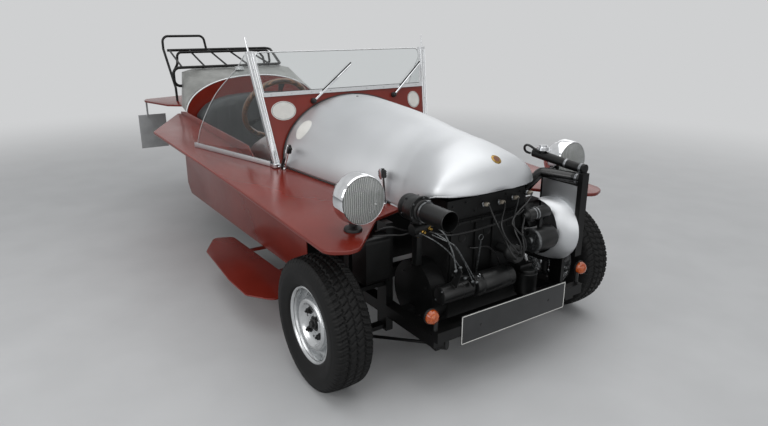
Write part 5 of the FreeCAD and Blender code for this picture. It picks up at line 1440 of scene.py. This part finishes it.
def floor_finish():
    """Pale studio floor: takes the car's shadow, and turns into the backdrop's even tone further out."""
    material = finish_from("pale_studio_floor", "#c4c5c6", 0.6, 0.0,
                           [dict(mm=300, Detail=4, tone=("#c2c3c4", "#c7c8c9"))], Specular_IOR_Level=0.15)
    tree = material.node_tree
    place = tree.nodes["Texture Coordinate"].outputs["Object"]
    away = add(tree, "ShaderNodeVectorMath", {0: place}, operation="LENGTH")
    fade = add(tree, "ShaderNodeMapRange", {"Value": away.outputs["Value"]},
               {"From Min": FADE_START, "From Max": FADE_END}, interpolation_type="SMOOTHSTEP")
    _, clear = straight_rays(tree)
    seen = add(tree, "ShaderNodeMath", {0: fade.outputs["Result"], 1: clear.outputs["Value"]},
               operation="MULTIPLY")
    even = add(tree, "ShaderNodeEmission", values={"Color": linear(BACKDROP), "Strength": 1.0})
    mix = add(tree, "ShaderNodeMixShader", {"Fac": seen.outputs["Value"],
                                            1: tree.nodes["Principled BSDF"].outputs["BSDF"],
                                            2: even.outputs["Emission"]})
    tree.links.new(mix.outputs["Shader"], tree.nodes["Material Output"].inputs["Surface"])
    return material


def build_stage(settings):
    """The floor, the room's light and four softboxes."""
    mesh = mesh_of([(x * FLOOR_REACH, y * FLOOR_REACH, 0) for x, y in ((-1, -1), (1, -1), (1, 1), (-1, 1))],
                   [(0, 1, 2, 3)])
    mesh.materials.append(floor_finish())
    floor = bpy.data.objects.new("studio_floor", mesh)
    bpy.context.scene.collection.objects.link(floor)

    scene = bpy.context.scene
    scene.view_settings.view_transform = "Standard"
    world = bpy.data.worlds.new("studio")
    world.use_nodes = True
    tree = world.node_tree
    tree.nodes.clear()
    rays, clear = straight_rays(tree)
    seen = add(tree, "ShaderNodeMath", {0: clear.outputs["Value"], 1: rays.outputs["Is Glossy Ray"]},
               operation="MAXIMUM")
    light = add(tree, "ShaderNodeBackground", values={"Color": linear("#d4d6d8"), "Strength": settings.fill})
    backdrop = add(tree, "ShaderNodeBackground", values={"Color": linear(BACKDROP), "Strength": 1.0})
    mix = add(tree, "ShaderNodeMixShader", {"Fac": seen.outputs["Value"], 1: light.outputs["Background"],
                                            2: backdrop.outputs["Background"]})
    add(tree, "ShaderNodeOutputWorld", {"Surface": mix.outputs["Shader"]})
    scene.world = world

    for name, place, aim, size, power in (
            ("overhead_softbox", (1.0, 0.2, 4.2), (0.2, 0.0, 0.0), (6.4, 4.0), settings.overhead),
            ("side_softbox", (1.8, -4.6, 2.6), (0.2, 0.0, 0.5), (4.4, 2.6), settings.side),
            ("front_softbox", (5.4, -0.6, 1.8), (0.8, 0.0, 0.4), (4.6, 3.0), settings.side * 0.5),
            ("far_softbox", (-2.4, 4.6, 3.4), (0.0, 0.0, 0.4), (4.0, 2.4), settings.side * 0.3)):
        data = bpy.data.lights.new(name, "AREA")
        data.shape, data.size, data.size_y, data.energy = "RECTANGLE", size[0], size[1], power
        lamp = bpy.data.objects.new(name, data)
        scene.collection.objects.link(lamp)
        aim_turn = (Vector(aim) - Vector(place)).to_track_quat("-Z", "Y")
        lamp.matrix_world = Matrix.Translation(Vector(place)) @ aim_turn.to_matrix().to_4x4()


def soften(node, name, finish, width):
    """The node's own shape with its sharp edges eased, so that they catch the light."""
    shell = bmesh.new()
    shell.from_mesh(NODES[node].data)
    bmesh.ops.remove_doubles(shell, verts=shell.verts, dist=1e-5)
    bmesh.ops.dissolve_limit(shell, angle_limit=math.radians(0.5), verts=shell.verts, edges=shell.edges)
    round_edges(shell, width, 30.0, 3, 0.5)
    mesh = bpy.data.meshes.new(name)
    shell.to_mesh(mesh)
    shell.free()
    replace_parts(add_piece(name, mesh, finish, crease=50), node)


def build_boards():
    """Eases the edges of the boards and sections."""
    for node, name, finish, width in (
            ("wing_right", "right_wing_board", "red", 0.0035),
            ("wing_left", "left_wing_board", "red", 0.0035),
            ("step_plates", "step_boards", "red", 0.003),
            ("side_panel_right", "right_side_board", "red", 0.0018),
            ("side_panel_left", "left_side_board", "red", 0.0018),
            ("tail_plate", "tail_wing_board", "red", 0.0025),
            ("windscreen_frame", "screen_posts_and_bar", "section", 0.0012),
            ("deflector_rails", "pane_rails", "sheet", 0.001),
            ("cheek_plates", "cheek_panels", "bright", 0.0006),
            ("tail_board", "grey_tail_board", "grey", 0.0008)):
        soften(node, name, finish, width)


def dress_frame():
    """Gives every CAD node its finish."""
    for finish, nodes in NODE_FINISH.items():
        for node in nodes:
            mesh = NODES[node].data
            mesh.materials.clear()
            mesh.materials.append(paint(finish))


class StageSettings(bpy.types.PropertyGroup):
    """Light on the studio stage"""
    overhead: FloatProperty(name="Overhead", description="Power of the overhead softbox", default=105.0,
                            unit="POWER")
    side: FloatProperty(name="Side", description="Power of the side softbox", default=80.0, unit="POWER")
    fill: FloatProperty(name="Fill", description="Strength of the room's light", default=0.45)


class FinishSettings(bpy.types.PropertyGroup):
    """Colours of the main finishes"""
    board: FloatVectorProperty(name="Boards", description="Enamel of the wings, sides and steps",
                               subtype="COLOR", default=linear("#74251b")[:3])
    bonnet: FloatVectorProperty(name="Bonnet", description="Bare sheet of the bonnet and dashboard",
                                subtype="COLOR", default=linear("#c9cbcd")[:3])
    seat: FloatVectorProperty(name="Seat", description="Leathercloth of the seat",
                              subtype="COLOR", default=linear("#303334")[:3])
    rim: FloatVectorProperty(name="Wheel rim", description="Wood of the steering wheel",
                             subtype="COLOR", default=linear("#5a3a1e")[:3])


class SeatSettings(bpy.types.PropertyGroup):
    """The seat's padding"""
    channel: FloatProperty(name="Channel spacing", description="Distance between two sewn channels",
                           default=0.07, unit="LENGTH")
    swell: FloatProperty(name="Swell", description="Furthest that the padding stands out",
                         default=0.012, unit="LENGTH")


class WheelSettings(bpy.types.PropertyGroup):
    """The three wheels"""
    groove: FloatProperty(name="Groove depth", description="Depth of the tread's grooves",
                          default=0.006, unit="LENGTH")
    pitches: IntProperty(name="Tread pitches", description="Tread blocks round a tyre", default=58)
    slots: IntProperty(name="Wheel slots", description="Slots round a wheel's face", default=8)


class CAR_OT_stage(bpy.types.Operator):
    """Adds the camera, the floor and the lights"""
    bl_idname = "car.stage"
    bl_label = "Stage"

    def execute(self, context):
        build_camera()
        build_stage(context.scene.car_stage)
        return {"FINISHED"}


class CAR_OT_finishes(bpy.types.Operator):
    """Gives the frame's nodes their finishes and eases the boards' edges"""
    bl_idname = "car.finishes"
    bl_label = "Finishes"

    def execute(self, context):
        dress_frame()
        build_boards()
        return {"FINISHED"}


class CAR_OT_wheels(bpy.types.Operator):
    """Adds the tyres and pressed wheels"""
    bl_idname = "car.wheels"
    bl_label = "Wheels"

    def execute(self, context):
        build_wheels(context.scene.car_wheels.pitches, context.scene.car_wheels.slots)
        return {"FINISHED"}


class CAR_OT_bonnet(bpy.types.Operator):
    """Adds the bonnet and its catches"""
    bl_idname = "car.bonnet"
    bl_label = "Bonnet"

    def execute(self, context):
        build_bonnet()
        add_bonnet_edges()
        add_bonnet_discs()
        build_catches()
        return {"FINISHED"}


class CAR_OT_lamps(bpy.types.Operator):
    """Adds the lamps, the indicators and the front plate"""
    bl_idname = "car.lamps"
    bl_label = "Lamps and plates"

    def execute(self, context):
        build_headlamps()
        build_indicators()
        build_plates()
        return {"FINISHED"}


class CAR_OT_engine(bpy.types.Operator):
    """Adds what is bolted to the engine and the radiator"""
    bl_idname = "car.engine"
    bl_label = "Engine"

    def execute(self, context):
        build_engine()
        return {"FINISHED"}


class CAR_OT_trim(bpy.types.Operator):
    """Adds bright edges, beads and screws"""
    bl_idname = "car.trim"
    bl_label = "Trim"

    def execute(self, context):
        build_trim()
        add_trim_screws()
        return {"FINISHED"}


class CAR_OT_cockpit(bpy.types.Operator):
    """Adds the seat and the steering wheel"""
    bl_idname = "car.cockpit"
    bl_label = "Cockpit"

    def execute(self, context):
        build_seats(context.scene.car_seats)
        build_steering_wheel()
        return {"FINISHED"}


class CAR_OT_screen(bpy.types.Operator):
    """Adds the wipers, rivets and blank discs of the screen"""
    bl_idname = "car.screen"
    bl_label = "Screen"

    def execute(self, context):
        build_screen()
        return {"FINISHED"}


OPERATORS = (CAR_OT_stage, CAR_OT_finishes, CAR_OT_wheels, CAR_OT_bonnet, CAR_OT_lamps, CAR_OT_cockpit,
             CAR_OT_screen, CAR_OT_engine, CAR_OT_trim)


class CAR_PT_panel(bpy.types.Panel):
    """Shows the car's settings and its steps"""
    bl_idname = "CAR_PT_panel"
    bl_label = "Three wheeled car"
    bl_space_type = "VIEW_3D"
    bl_region_type = "UI"
    bl_category = "Car"

    def draw(self, context):
        for group in (context.scene.car_stage, context.scene.car_finishes, context.scene.car_seats,
                      context.scene.car_wheels):
            box = self.layout.box()
            for key in group.bl_rna.properties.keys():
                if key not in ("rna_type", "name"):
                    box.prop(group, key)
        for operator in OPERATORS:
            self.layout.operator(operator.bl_idname)


CLASSES = (StageSettings, FinishSettings, SeatSettings, WheelSettings) + OPERATORS + (CAR_PT_panel,)


def register():
    for item in CLASSES:
        bpy.utils.register_class(item)
    bpy.types.Scene.car_stage = PointerProperty(type=StageSettings)
    bpy.types.Scene.car_finishes = PointerProperty(type=FinishSettings)
    bpy.types.Scene.car_seats = PointerProperty(type=SeatSettings)
    bpy.types.Scene.car_wheels = PointerProperty(type=WheelSettings)


def unregister():
    del bpy.types.Scene.car_stage
    del bpy.types.Scene.car_finishes
    del bpy.types.Scene.car_seats
    del bpy.types.Scene.car_wheels
    for item in reversed(CLASSES):
        bpy.utils.unregister_class(item)


def main():
    register()
    for step in (bpy.ops.car.stage, bpy.ops.car.finishes, bpy.ops.car.wheels, bpy.ops.car.bonnet,
                 bpy.ops.car.lamps, bpy.ops.car.cockpit, bpy.ops.car.screen, bpy.ops.car.engine,
                 bpy.ops.car.trim):
        step()


if __name__ == "__main__":
    main()
